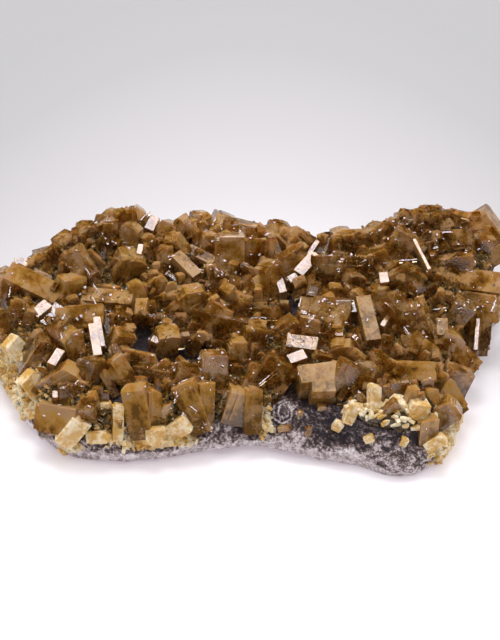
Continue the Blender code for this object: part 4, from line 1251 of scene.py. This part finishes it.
def golden_colour(tree, colours, shade, coarse, clouds, streaks, veil):
    """Golden where cloudy, amber where clear, with pale veils, and lighter at edges and tips: a painted glow
    at the edges and painted shade towards the roots.
    """
    # The tip share brings painted shade: crystals are coloured darker towards their roots, where the crevices
    # are shaded.
    tip = add_node(tree, "ShaderNodeAttribute", attribute_name="tip").outputs["Fac"]
    # The edge share is a painted glow: faces are coloured lighter near their edges, as light coming through
    # thin crystal would make them.
    edge, deep = (
        add_node(tree, "ShaderNodeMapRange", {"Value": value, "From Min": start, "From Max": end}).outputs[0]
        for value, start, end in (
            (near_edge(tree), 0.72, 1.0),
            (weighted(tree, (shade["Green"], 0.0, 1.0), (coarse, 0.5, 2.0)), 1.0, 0.1)))
    # The tone is darkened towards the roots by painted shade and lightened near the edges by a painted glow.
    tone = weighted(
        tree, (shade["Red"], 0.0, 0.6), (coarse, 0.5, 1.2), (clouds, 0.5, 1.3), (streaks, 0.5, 0.7),
        (tip, 0.6, 0.8), (edge, 0.0, 0.2))
    colour, amber = (
        add_node(tree, "ShaderNodeValToRGB", {"Fac": tone}, stops).outputs[0]
        for stops in (
            ((0.0, colours.golden_dark), (0.3, colours.golden), (0.65, colours.golden_light),
             (1.0, colours.tan)),
            ((0.0, colours.amber_dark), (0.3, colours.amber), (0.7, colours.amber_light),
             (1.0, colours.tan))))
    for share, over in ((deep, amber), (weighted(tree, (veil, 0.0, 0.55)), (*colours.tan, 1.0))):
        colour = add_node(tree, "ShaderNodeMix", {
            "Factor": share, 6: colour, 7: over}, data_type="RGBA").outputs[2]
    return colour


def golden_barite(colours):
    """Golden-brown barite: clear, glassy crystal mixed with a body that glows where inclusions cloud it."""
    material, tree = new_material(GOLDEN)
    here = add_node(tree, "ShaderNodeTexCoord").outputs["Object"]
    place = add_node(tree, "ShaderNodeAttribute", attribute_name="place").outputs["Vector"]
    finish = add_node(tree, "ShaderNodeAttribute", attribute_name="finish").outputs["Color"]
    shade = add_node(tree, "ShaderNodeSeparateColor", {"Color": finish}).outputs
    # Clouds of 6 mm and of 2 mm, and tiny inclusions, drawn at 0.8 mm so that they show
    coarse, clouds, fine = (
        add_node(tree, "ShaderNodeTexNoise", {
            "Vector": here, "Scale": per_metre(size), "Detail": detail, "Distortion": bend}).outputs["Fac"]
        for size, detail, bend in ((6.0, 2.0, 0.0), (2.0, 4.0, 0.8), (0.8, 4.0, 0.0)))
    # Faint streaks of 2 mm and fine striations along the length
    along, finely = (
        add_node(tree, "ShaderNodeMapping", {"Vector": place, "Scale": scale}).outputs[0]
        for scale in ((0.5, 0.5, 0.06), (3.0, 3.0, 0.25)))
    streaks, lines = (
        add_node(tree, "ShaderNodeTexNoise", {
            "Vector": vector, "Scale": 1.0, "Detail": detail}).outputs["Fac"]
        for vector, detail in ((along, 1.0), (finely, 2.0)))
    # The inclusions stand together in veils
    veil = weighted(tree, (fine, 0.0, 1.0), (coarse, 0.5, 1.5))
    veil = add_node(tree, "ShaderNodeMapRange", {
        "Value": veil, "From Min": 0.52, "From Max": 0.64}).outputs[0]
    normal = add_node(tree, "ShaderNodeBump", {"Height": lines, "Strength": 0.3, "Distance": 0.0001})
    normal = sugary_normal(tree, here, normal.outputs[0], shade["Blue"], 0.5, 0.2)
    rough = add_node(tree, "ShaderNodeMapRange", {
        "Value": clouds, "From Min": 0.35, "From Max": 0.7, "To Min": 0.03, "To Max": 0.12}).outputs[0]
    body = add_node(tree, "ShaderNodeBsdfPrincipled", {
        "Base Color": golden_colour(tree, colours, shade, coarse, clouds, streaks, veil), "Roughness": rough,
        "IOR": BARITE_IOR, "Transmission Weight": 0.15, "Subsurface Weight": 0.85,
        "Subsurface Radius": AMBER_GLOW, "Subsurface Scale": 0.0014, "Normal": normal})
    clear = add_node(tree, "ShaderNodeBsdfPrincipled", {
        "Base Color": (*colours.clear, 1.0), "Roughness": 0.05, "IOR": BARITE_IOR, "Transmission Weight": 1.0,
        "Normal": normal})
    cloudy = add_node(tree, "ShaderNodeMapRange", {
        "Value": weighted(tree, (shade["Green"], 0.0, 1.0), (coarse, 0.0, 1.0), (veil, 0.1, 0.35)),
        "From Min": 0.5, "From Max": 1.5, "To Min": 0.18, "To Max": 0.7}).outputs[0]
    shader = add_node(tree, "ShaderNodeMixShader", {0: cloudy, 1: clear.outputs[0], 2: body.outputs[0]})
    depth = add_node(tree, "ShaderNodeVolumeAbsorption", {"Color": (*colours.depth, 1.0), "Density": 135.0})
    add_node(tree, "ShaderNodeOutputMaterial", {"Surface": shader.outputs[0], "Volume": depth.outputs[0]})
    return material


def small_barite(colours):
    """The glittering druse of small crystals between the large ones."""
    material, tree = new_material("Barite, dark druse")
    here = add_node(tree, "ShaderNodeTexCoord").outputs["Object"]
    shade = add_node(tree, "ShaderNodeAttribute", attribute_name="shade").outputs["Fac"]
    clouds = add_node(tree, "ShaderNodeTexNoise", {
        "Vector": here, "Scale": per_metre(3.0), "Detail": 4.0}).outputs["Fac"]
    tone = weighted(tree, (shade, 0.0, 0.5), (clouds, 0.4, 1.2))
    colour = add_node(tree, "ShaderNodeValToRGB", {"Fac": tone}, (
        (0.0, colours.golden_deep), (0.3, colours.druse), (0.65, colours.golden),
        (1.0, colours.golden_light))).outputs[0]
    plain = add_node(tree, "ShaderNodeNewGeometry").outputs["Normal"]
    normal = sugary_normal(tree, here, plain, 1.0, 0.5, 0.4)
    shader = add_node(tree, "ShaderNodeBsdfPrincipled", {
        "Base Color": colour, "Roughness": 0.08, "IOR": BARITE_IOR, "Transmission Weight": 0.3,
        "Subsurface Weight": 0.5, "Subsurface Radius": AMBER_GLOW, "Subsurface Scale": 0.002,
        "Normal": normal})
    add_node(tree, "ShaderNodeOutputMaterial", {"Surface": shader.outputs[0]})
    return material


def cream_barite(colours):
    """Cream barite, opaque with inclusions and golden where it is thin, with a chalky, pitted skin."""
    material, tree = new_material(CREAM)
    here = add_node(tree, "ShaderNodeTexCoord").outputs["Object"]
    patches, clouds, pits = (
        add_node(tree, "ShaderNodeTexNoise", {
            "Vector": here, "Scale": per_metre(size), "Detail": detail}).outputs["Fac"]
        for size, detail in ((6.0, 2.0), (2.2, 4.0), (0.7, 3.0)))
    cells = add_node(tree, "ShaderNodeTexVoronoi", {"Vector": here, "Scale": per_metre(0.9)}).outputs
    grains = add_node(tree, "ShaderNodeSeparateColor", {"Color": cells["Color"]}).outputs["Red"]
    tone = weighted(tree, (clouds, 0.0, 0.5), (patches, 0.25, 1.0), (grains, 0.5, 0.16))
    colour = add_node(tree, "ShaderNodeValToRGB", {"Fac": tone}, (
        (0.26, colours.golden_light), (0.4, colours.cream_dark), (0.52, colours.cream),
        (0.66, colours.cream_pale))).outputs[0]
    normal = add_node(tree, "ShaderNodeBump", {"Height": pits, "Strength": 0.6, "Distance": 0.0003})
    normal = sugary_normal(tree, here, normal.outputs[0], 1.0, 0.9, 0.4)
    shader = add_node(tree, "ShaderNodeBsdfPrincipled", {
        "Base Color": colour, "Roughness": 0.25, "IOR": BARITE_IOR, "Subsurface Weight": 0.4,
        "Subsurface Radius": CREAM_GLOW, "Subsurface Scale": 0.0015, "Normal": normal})
    add_node(tree, "ShaderNodeOutputMaterial", {"Surface": shader.outputs[0]})
    return material


def rings_and_veins(tree, here, specks):
    """The shares of two rings of pale mineral and of thin pale veins, both a little bent."""
    bend = add_node(tree, "ShaderNodeTexNoise", {
        "Vector": here, "Scale": per_metre(4.0), "Detail": 3.0}).outputs["Color"]
    bend = add_node(tree, "ShaderNodeVectorMath", {0: bend, "Scale": RING_BEND}, operation="SCALE").outputs[0]
    bent = add_node(tree, "ShaderNodeVectorMath", {0: here, 1: bend}, operation="ADD").outputs[0]
    middle = TO_FRAME @ seen_point(*RING_PX, rock_top) + Vector((0.5, 0.5, 0.5)) * RING_BEND
    away = add_node(tree, "ShaderNodeVectorMath", {0: bent, 1: middle}, operation="DISTANCE").outputs["Value"]
    # The veins run where a noise of 9 mm passes through its middle
    noise_value = add_node(tree, "ShaderNodeTexNoise", {
        "Vector": bent, "Scale": per_metre(9.0), "Detail": 3.0}).outputs["Fac"]
    outer, inner, vein = (
        add_node(tree, "ShaderNodeMath", {
            0: weighted(tree, (value, line, 1.0))}, operation="ABSOLUTE").outputs[0]
        for value, line in ((away, RING_RADII[0]), (away, RING_RADII[1]), (noise_value, 0.5)))
    outer, inner, inside, vein = (
        add_node(tree, "ShaderNodeMapRange", {
            "Value": value, "From Min": start, "From Max": end, "To Max": most}).outputs[0]
        for value, (start, end), most in (
            (outer, RING_EDGE, 1.0), (inner, RING_EDGE, 1.0), (away, RING_END, 1.0),
            (vein, (0.01, 0.0), 0.3)))
    rings = weighted(tree, (outer, 0.0, 1.0), (inner, 0.0, 1.0), (specks, 0.6, 2.5))
    rings = add_node(tree, "ShaderNodeMath", {
        0: rings, 1: inside}, operation="MULTIPLY", use_clamp=True).outputs[0]
    return rings, vein


def dark_rock(colours):
    """Dark purple-brown host rock, crumbly and mottled, with a pale rind, rings and veins and cream crust,
    and painted shade under the crystals.
    """
    material, tree = new_material("Host rock, broken and mineral stained")
    here = add_node(tree, "ShaderNodeTexCoord").outputs["Object"]
    low, rind, cream = (
        add_node(tree, "ShaderNodeAttribute", attribute_name=name).outputs["Fac"]
        for name in ("low", "rind", "cream"))
    # Patches of 9 mm, spots of 3.5 mm, specks of 1.2 mm and grit, drawn at 0.9 mm so that it shows
    patches, spots, specks, grit = (
        add_node(tree, "ShaderNodeTexNoise", {
            "Vector": here, "Scale": per_metre(size), "Detail": detail, "Roughness": rough,
            "Distortion": bend}).outputs["Fac"]
        for size, detail, rough, bend in (
            (9.0, 4.0, 0.5, 0.0), (3.5, 8.0, 0.7, 0.4), (1.2, 5.0, 0.7, 0.0), (0.9, 4.0, 0.5, 0.0)))
    # The low share brings painted shade into the mottle: darker under the crystals and in their gaps.
    mottle = weighted(tree, (specks, 0.0, 1.0), (spots, 0.5, 0.8), (patches, 0.5, 0.7), (low, 0.5, 0.17))
    paleness = weighted(tree, (specks, 0.0, 1.0), (spots, 0.5, 0.8))
    colour, pale, crust = (
        add_node(tree, "ShaderNodeValToRGB", {"Fac": value}, stops).outputs[0]
        for value, stops in (
            (mottle, (
                (0.42, colours.rock_dark), (0.5, colours.rock), (0.58, colours.rock_light),
                (0.64, colours.rind))),
            (paleness, (
                (0.3, colours.rock_light), (0.42, colours.rind_dark), (0.52, colours.rind),
                (0.64, colours.rind_light))),
            (spots, ((0.35, colours.cream_dark), (0.5, colours.cream), (0.65, colours.cream_pale)))))
    rind, cream = (
        add_node(tree, "ShaderNodeMapRange", {
            "Value": weighted(tree, (value, 0.0, 1.0), (spots, 0.5, ragged)), "From Min": start,
            "From Max": end}).outputs[0]
        for value, ragged, start, end in ((rind, 2.0, 0.3, 0.7), (cream, 1.5, 0.4, 0.6)))
    rings, vein = rings_and_veins(tree, here, specks)
    for share, over in ((rings, pale), (vein, pale), (rind, pale), (cream, crust)):
        colour = add_node(tree, "ShaderNodeMix", {
            "Factor": share, 6: colour, 7: over}, data_type="RGBA").outputs[2]
    normal = add_node(tree, "ShaderNodeBump", {
        "Height": grit, "Strength": 1.0, "Distance": 0.0009}).outputs[0]
    shader = add_node(tree, "ShaderNodeBsdfPrincipled", {
        "Base Color": colour, "Roughness": 0.55, "IOR": 1.5, "Normal": normal})
    add_node(tree, "ShaderNodeOutputMaterial", {"Surface": shader.outputs[0]})
    return material


def white_sweep(colours):
    """Matt white paper lit from below as well, coloured greyer away from the light and sooner at the sides,
    as painted shade of the light's falloff.
    """
    material, tree = new_material("Paper, matt white, lit from below")
    here = add_node(tree, "ShaderNodeTexCoord").outputs["Object"]
    axis = add_node(tree, "ShaderNodeSeparateXYZ", {"Vector": here}).outputs
    across = add_node(tree, "ShaderNodeMath", {0: axis["X"], 1: 2.0}, operation="POWER").outputs[0]
    # The paper's colour greys with distance back and to the sides: painted shade where the light falls off.
    reach = weighted(tree, (across, 0.0, SIDE_FALL), (axis["Y"], 0.0, 1.0))
    far = add_node(tree, "ShaderNodeMapRange", {"Value": reach, "From Min": 0.0, "From Max": 0.3}).outputs[0]
    colour = add_node(tree, "ShaderNodeValToRGB", {"Fac": far}, (
        (0.0, colours.paper), (0.2, colours.paper_behind), (0.4, colours.paper_back),
        (0.56, colours.paper_far), (0.8, colours.paper_end))).outputs[0]
    glow = add_node(tree, "ShaderNodeMix", {
        "Factor": far, 6: (*colours.glow, 1.0), 7: colour}, data_type="RGBA").outputs[2]
    shader = add_node(tree, "ShaderNodeBsdfPrincipled", {
        "Base Color": colour, "Roughness": 0.9, "Specular IOR Level": 0.2, "Emission Color": glow,
        "Emission Strength": 0.27})
    add_node(tree, "ShaderNodeOutputMaterial", {"Surface": shader.outputs[0]})
    return material


# What a user may change

def linear(code):
    """Linear colour of an sRGB hex value."""
    channels = [int(code[i:i + 2], 16) / 255.0 for i in (1, 3, 5)]
    return tuple(c / 12.92 if c <= 0.04045 else ((c + 0.055) / 1.055) ** 2.4 for c in channels)


def colour_property(name, description, code):
    """A colour that can be changed, given by its sRGB hex value."""
    return bpy.props.FloatVectorProperty(
        name=name, description=description, subtype="COLOR", size=3, min=0.0, max=1.0, default=linear(code))


def length_property(name, description, millimetres):
    """A length that can be changed."""
    return bpy.props.FloatProperty(
        name=name, description=description, subtype="DISTANCE", unit="LENGTH", min=0.0,
        default=millimetres * MM)


def light_property(name, description, radiance):
    """A radiance that can be changed."""
    return bpy.props.FloatProperty(name=name, description=description, min=0.0, default=radiance)


class BariteColours(bpy.types.PropertyGroup):
    """Colours of the minerals, the rock and the paper."""

    clear: colour_property("Clear", "Tint of the clear barite's surface", "#FCE9C8")
    depth: colour_property("Depth", "What clear barite lets through", "#ECCE8A")
    golden_deep: colour_property("Golden, deep", "Barite deep in the gaps", "#33281A")
    # The dark ambers and goldens also colour the painted shade at the crystals' roots.
    amber_dark: colour_property("Amber, dark", "Clear barite in its own shade", "#6C4210")
    amber: colour_property("Amber", "Most of the clear barite", "#B07620")
    amber_light: colour_property("Amber, light", "Thin, clear barite", "#D89E42")
    druse: colour_property("Druse", "Most of the druse in the gaps", "#705C38")
    golden_dark: colour_property("Golden, dark", "Barite in the shade of its own inclusions", "#84602C")
    golden: colour_property("Golden", "Most of the barite", "#C29044")
    golden_light: colour_property("Golden, light", "Thin and clear barite", "#DCAC58")
    tan: colour_property("Tan", "Cloudy barite", "#D2AE84")
    cream_dark: colour_property("Cream, dark", "Stained parts of the cream barite", "#D2A85E")
    cream: colour_property("Cream", "Cream barite", "#EACE98")
    cream_pale: colour_property("Cream, pale", "Chalky parts of the cream barite", "#F5E6C6")
    rock_dark: colour_property("Rock, dark", "Violet-black parts of the rock", "#30282E")
    rock: colour_property("Rock", "Most of the rock", "#6A5552")
    rock_light: colour_property("Rock, light", "Grey parts of the rock", "#948480")
    rind_dark: colour_property("Rind, dark", "Stained parts of the pale rind", "#AFA09E")
    rind: colour_property("Rind", "Pale rind on the rock's edge", "#DACED0")
    rind_light: colour_property("Rind, light", "Whitest parts of the rind", "#F8F2F4")
    room: colour_property("Room", "Light from all round", "#FFFAFD")
    lamp: colour_property("Softbox", "Light of the softbox's middle", "#FAF3FF")
    glow: colour_property("Glow", "Light that comes up through the paper at the specimen", "#F2E2EE")
    paper: colour_property("Paper", "The floor around the specimen", "#E4E4E4")
    # The paper's greys further back are painted shade of the light falling off over white paper.
    paper_behind: colour_property("Paper, behind", "The floor behind the specimen", "#C8C8C8")
    paper_back: colour_property("Paper, back", "The floor where it begins to turn grey", "#B3B3B3")
    paper_far: colour_property("Paper, far", "The floor further back", "#AAAAAA")
    paper_end: colour_property("Paper, end", "The floor at the top of the picture", "#A0A0A0")


class BariteSizes(bpy.types.PropertyGroup):
    """Sizes of the small crystals and strengths of the lights."""

    small_least: length_property("Small crystals, least", "Length of the smallest crystals in the gaps", 0.9)
    small_most: length_property("Small crystals, most", "Length of the largest crystals in the gaps", 2.4)
    cream_least: length_property("Cream blocks, least", "Length of the smallest cream blocks", 1.2)
    cream_most: length_property("Cream blocks, most", "Length of the largest cream blocks", 3.6)
    grain_least: length_property("Druse, least", "Size of the smallest sugary grains", 0.25)
    grain_most: length_property("Druse, most", "Size of the largest sugary grains", 0.6)
    core_light: light_property("Softbox", "Radiance of the softbox's middle", 8.8)
    wide_light: light_property("Surround", "Radiance of the softbox's surround", 1.7)
    ceiling_light: light_property("Ceiling", "Radiance of the lit ceiling", 1.3)
    side_light: light_property("Sides", "Radiance of the cards at the sides", 0.9)
    room_light: light_property("Room", "Light from all round", 0.4)


# The operators

class BARITE_OT_rock(bpy.types.Operator):
    """Make the host rock."""

    bl_idname = "barite.rock"
    bl_label = "Host rock"

    def execute(self, context):
        material = dark_rock(context.scene.barite_colours)
        piece = place_piece("host_rock", rock_mesh(), material)
        declare(piece, "rock", "rock_matrix")
        return {"FINISHED"}


class BARITE_OT_crystals(bpy.types.Operator):
    """Grow the golden and the cream crystals."""

    bl_idname = "barite.crystals"
    bl_label = "Crystals"

    def execute(self, context):
        colours = context.scene.barite_colours
        golden, cream = Grower("golden_crystals"), Grower("cream_crystals")
        grow_all(golden, cream)
        mesh = golden.joined()
        mark_root_shade(mesh)
        piece = place_piece("golden_crystals", mesh, golden_barite(colours))
        declare(piece, "golden_barite", "barite_crystals")
        piece = place_piece("cream_crystals", cream.joined(), cream_barite(colours))
        declare(piece, "cream_barite")
        return {"FINISHED"}


class BARITE_OT_bed(bpy.types.Operator):
    """Lay the intergrown roots and strew the small crystals, the cream blocks and the druse over them."""

    bl_idname = "barite.bed"
    bl_label = "Roots and small crystals"

    def execute(self, context):
        sizes, tree = context.scene.barite_sizes, scatter_tree()
        small = small_barite(context.scene.barite_colours)
        cream = bpy.data.materials[CREAM]
        golden, rock = bpy.data.objects["golden_crystals"], bpy.data.objects["host_rock"]
        bed = place_piece("crystal_bed", bed_mesh(), small)
        declare(bed, "golden_barite")
        twin = bud_mesh("Twin", TWIN_BUD)
        wide, narrow = blade_mesh("Wide blade", 0.85, 0.6, 0.85), blade_mesh("Narrow blade", 0.5, 0.4, 0.9)
        small_sizes = (sizes.small_least, sizes.small_most)
        cream_sizes = (sizes.cream_least, sizes.cream_most)
        grain_sizes = (sizes.grain_least, sizes.grain_most)
        strewn = (
            ("small_crystals", bed, "golden", wide, small, small_sizes, SMALL_DENSITY, 4),
            ("small_blades", bed, "golden", narrow, small, small_sizes, SMALL_DENSITY, 9),
            ("cream_blocks", bed, "cream", twin, cream, cream_sizes, BLOCK_DENSITY, 6),
            ("cream_crust", rock, "cream", wide, cream, cream_sizes, CRUST_DENSITY, 8),
            ("druse", golden, "druse", wide, small, grain_sizes, DRUSE_DENSITY, 2),
        )
        for name, surface, where, bud, material, (least, most), density, seed in strewn:
            piece = strew(name, tree, surface, bud, material, {
                "Where": where, "Density": density, "Smallest": least, "Largest": most, "Tilt": STREWN_TILT,
                "Seed": seed})
            declare(piece, "cream_barite" if where == "cream" else "golden_barite")
        piece = place_piece("glinting_crystals", glint_mesh(golden), bpy.data.materials[GOLDEN])
        declare(piece, "golden_barite")
        return {"FINISHED"}


class BARITE_OT_lone_crystals(bpy.types.Operator):
    """Set the single crystals on the bare rock."""

    bl_idname = "barite.lone_crystals"
    bl_label = "Single crystals"

    def execute(self, context):
        rng = random.Random(GROWTH_SEED)
        for name, px, py, length, width, thickness, turn, lean, spin in LONE_CRYSTALS:
            slot, material = ("cream_barite", CREAM) if "cream" in name else ("golden_barite", GOLDEN)
            at = seen_point(px, py, rock_top)
            matrix = placement(at, axes_from_view(at, turn, lean, spin))
            grower = Grower(name)
            grower.crystal((length, width, thickness), matrix, LONE_TIP, rng, LONE_FINISH, 2)
            piece = place_piece(name.replace("crystal_", ""), grower.joined(), bpy.data.materials[material])
            declare(piece, slot, name)
        return {"FINISHED"}


def area_light(name, radiance, size, distance, direction=LAMP_DIRECTION):
    """A rectangular softbox that faces the specimen, with the radiance that its mirror image shows."""
    width, depth = size
    light = bpy.data.lights.new(name, "AREA")
    light.shape = "RECTANGLE"
    light.size, light.size_y = width, depth
    light.energy = radiance * math.pi * width * depth
    lamp = bpy.data.objects.new(name, light)
    bpy.context.scene.collection.objects.link(lamp)
    lamp.location = TO_FRAME @ (VIEW_TARGET + direction * distance)
    lamp.rotation_euler = direction.to_track_quat("Z", "Y").to_euler()
    return lamp


def lay_floor(colours):
    """The paper under the specimen and far behind it."""
    mesh = bpy.data.meshes.new("floor")
    bm = bmesh.new()
    bmesh.ops.create_grid(bm, x_segments=24, y_segments=24, size=FLOOR_REACH)
    bm.to_mesh(mesh)
    bm.free()
    mesh.materials.append(white_sweep(colours))
    floor = bpy.data.objects.new("floor", mesh)
    bpy.context.scene.collection.objects.link(floor)
    return floor


def set_camera(scene):
    """The camera stands where the eye does, with the scale and the middle that the pixels were read with."""
    camera = bpy.data.objects.new("camera", bpy.data.cameras.new("camera"))
    scene.collection.objects.link(camera)
    scene.camera = camera
    matrix = Matrix((RIGHT, UPWARD, TOWARDS)).transposed().to_4x4()
    matrix.translation = TO_FRAME @ EYE
    camera.matrix_world = matrix
    width, height = FRAME_PX
    camera.data.sensor_fit = "HORIZONTAL"
    camera.data.sensor_width = SENSOR_WIDTH
    camera.data.lens = SENSOR_WIDTH * VIEW_DISTANCE / (width * VIEW_SCALE)
    camera.data.shift_x = (width / 2.0 - VIEW_CENTRE_PX[0]) / width
    camera.data.shift_y = (VIEW_CENTRE_PX[1] - height / 2.0) / width


class BARITE_OT_stage(bpy.types.Operator):
    """Set the paper, the softbox and the camera."""

    bl_idname = "barite.stage"
    bl_label = "Studio"

    def execute(self, context):
        scene, sizes, colours = context.scene, context.scene.barite_sizes, context.scene.barite_colours
        scene.view_settings.view_transform = "Standard"
        world = bpy.data.worlds.new("Room")
        world.use_nodes = True
        room = world.node_tree.nodes["Background"].inputs
        room["Color"].default_value = (*colours.room, 1.0)
        room["Strength"].default_value = sizes.room_light
        world.cycles_visibility.glossy = False
        scene.world = world
        lay_floor(colours)
        lamp = area_light("softbox_middle", sizes.core_light, SOFTBOX, LAMP_DISTANCE)
        lamp.data.color = colours.lamp
        area_light("softbox_surround", sizes.wide_light, SURROUND, LAMP_DISTANCE + SURROUND_LIFT)
        ceiling = area_light("ceiling", sizes.ceiling_light, CEILING, LAMP_DISTANCE * 1.6)
        ceiling.visible_glossy = False
        for name, side in (("left_card", -1.0), ("right_card", 1.0)):
            direction = Vector((0.86 * side, 0.05, 0.5)).normalized()
            area_light(name, sizes.side_light, CARD, CARD_DISTANCE, direction)
        set_camera(scene)
        return {"FINISHED"}


class BARITE_PT_panel(bpy.types.Panel):
    """The parts of the cluster, in the order they are made."""

    bl_idname = "BARITE_PT_panel"
    bl_label = "Barite cluster"
    bl_space_type = "VIEW_3D"
    bl_region_type = "UI"
    bl_category = "Barite"

    def draw(self, context):
        for name in ("barite.rock", "barite.crystals", "barite.bed", "barite.lone_crystals", "barite.stage"):
            self.layout.operator(name)
        for group in (context.scene.barite_sizes, context.scene.barite_colours):
            box = self.layout.box()
            for name in group.bl_rna.properties.keys():
                if name not in ("rna_type", "name"):
                    box.prop(group, name)


CLASSES = (
    BariteColours, BariteSizes, BARITE_OT_rock, BARITE_OT_crystals, BARITE_OT_bed, BARITE_OT_lone_crystals,
    BARITE_OT_stage, BARITE_PT_panel,
)


def register():
    """Register the classes and the settings."""
    for item in CLASSES:
        bpy.utils.register_class(item)
    bpy.types.Scene.barite_colours = bpy.props.PointerProperty(type=BariteColours)
    bpy.types.Scene.barite_sizes = bpy.props.PointerProperty(type=BariteSizes)


def unregister():
    """Take the settings and the classes away again."""
    del bpy.types.Scene.barite_sizes
    del bpy.types.Scene.barite_colours
    for item in reversed(CLASSES):
        bpy.utils.unregister_class(item)


def main():
    """Make every piece and the studio."""
    register()
    bpy.ops.barite.rock()
    bpy.ops.barite.crystals()
    bpy.ops.barite.bed()
    bpy.ops.barite.lone_crystals()
    bpy.ops.barite.stage()
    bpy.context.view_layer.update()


if __name__ == "__main__":
    main()
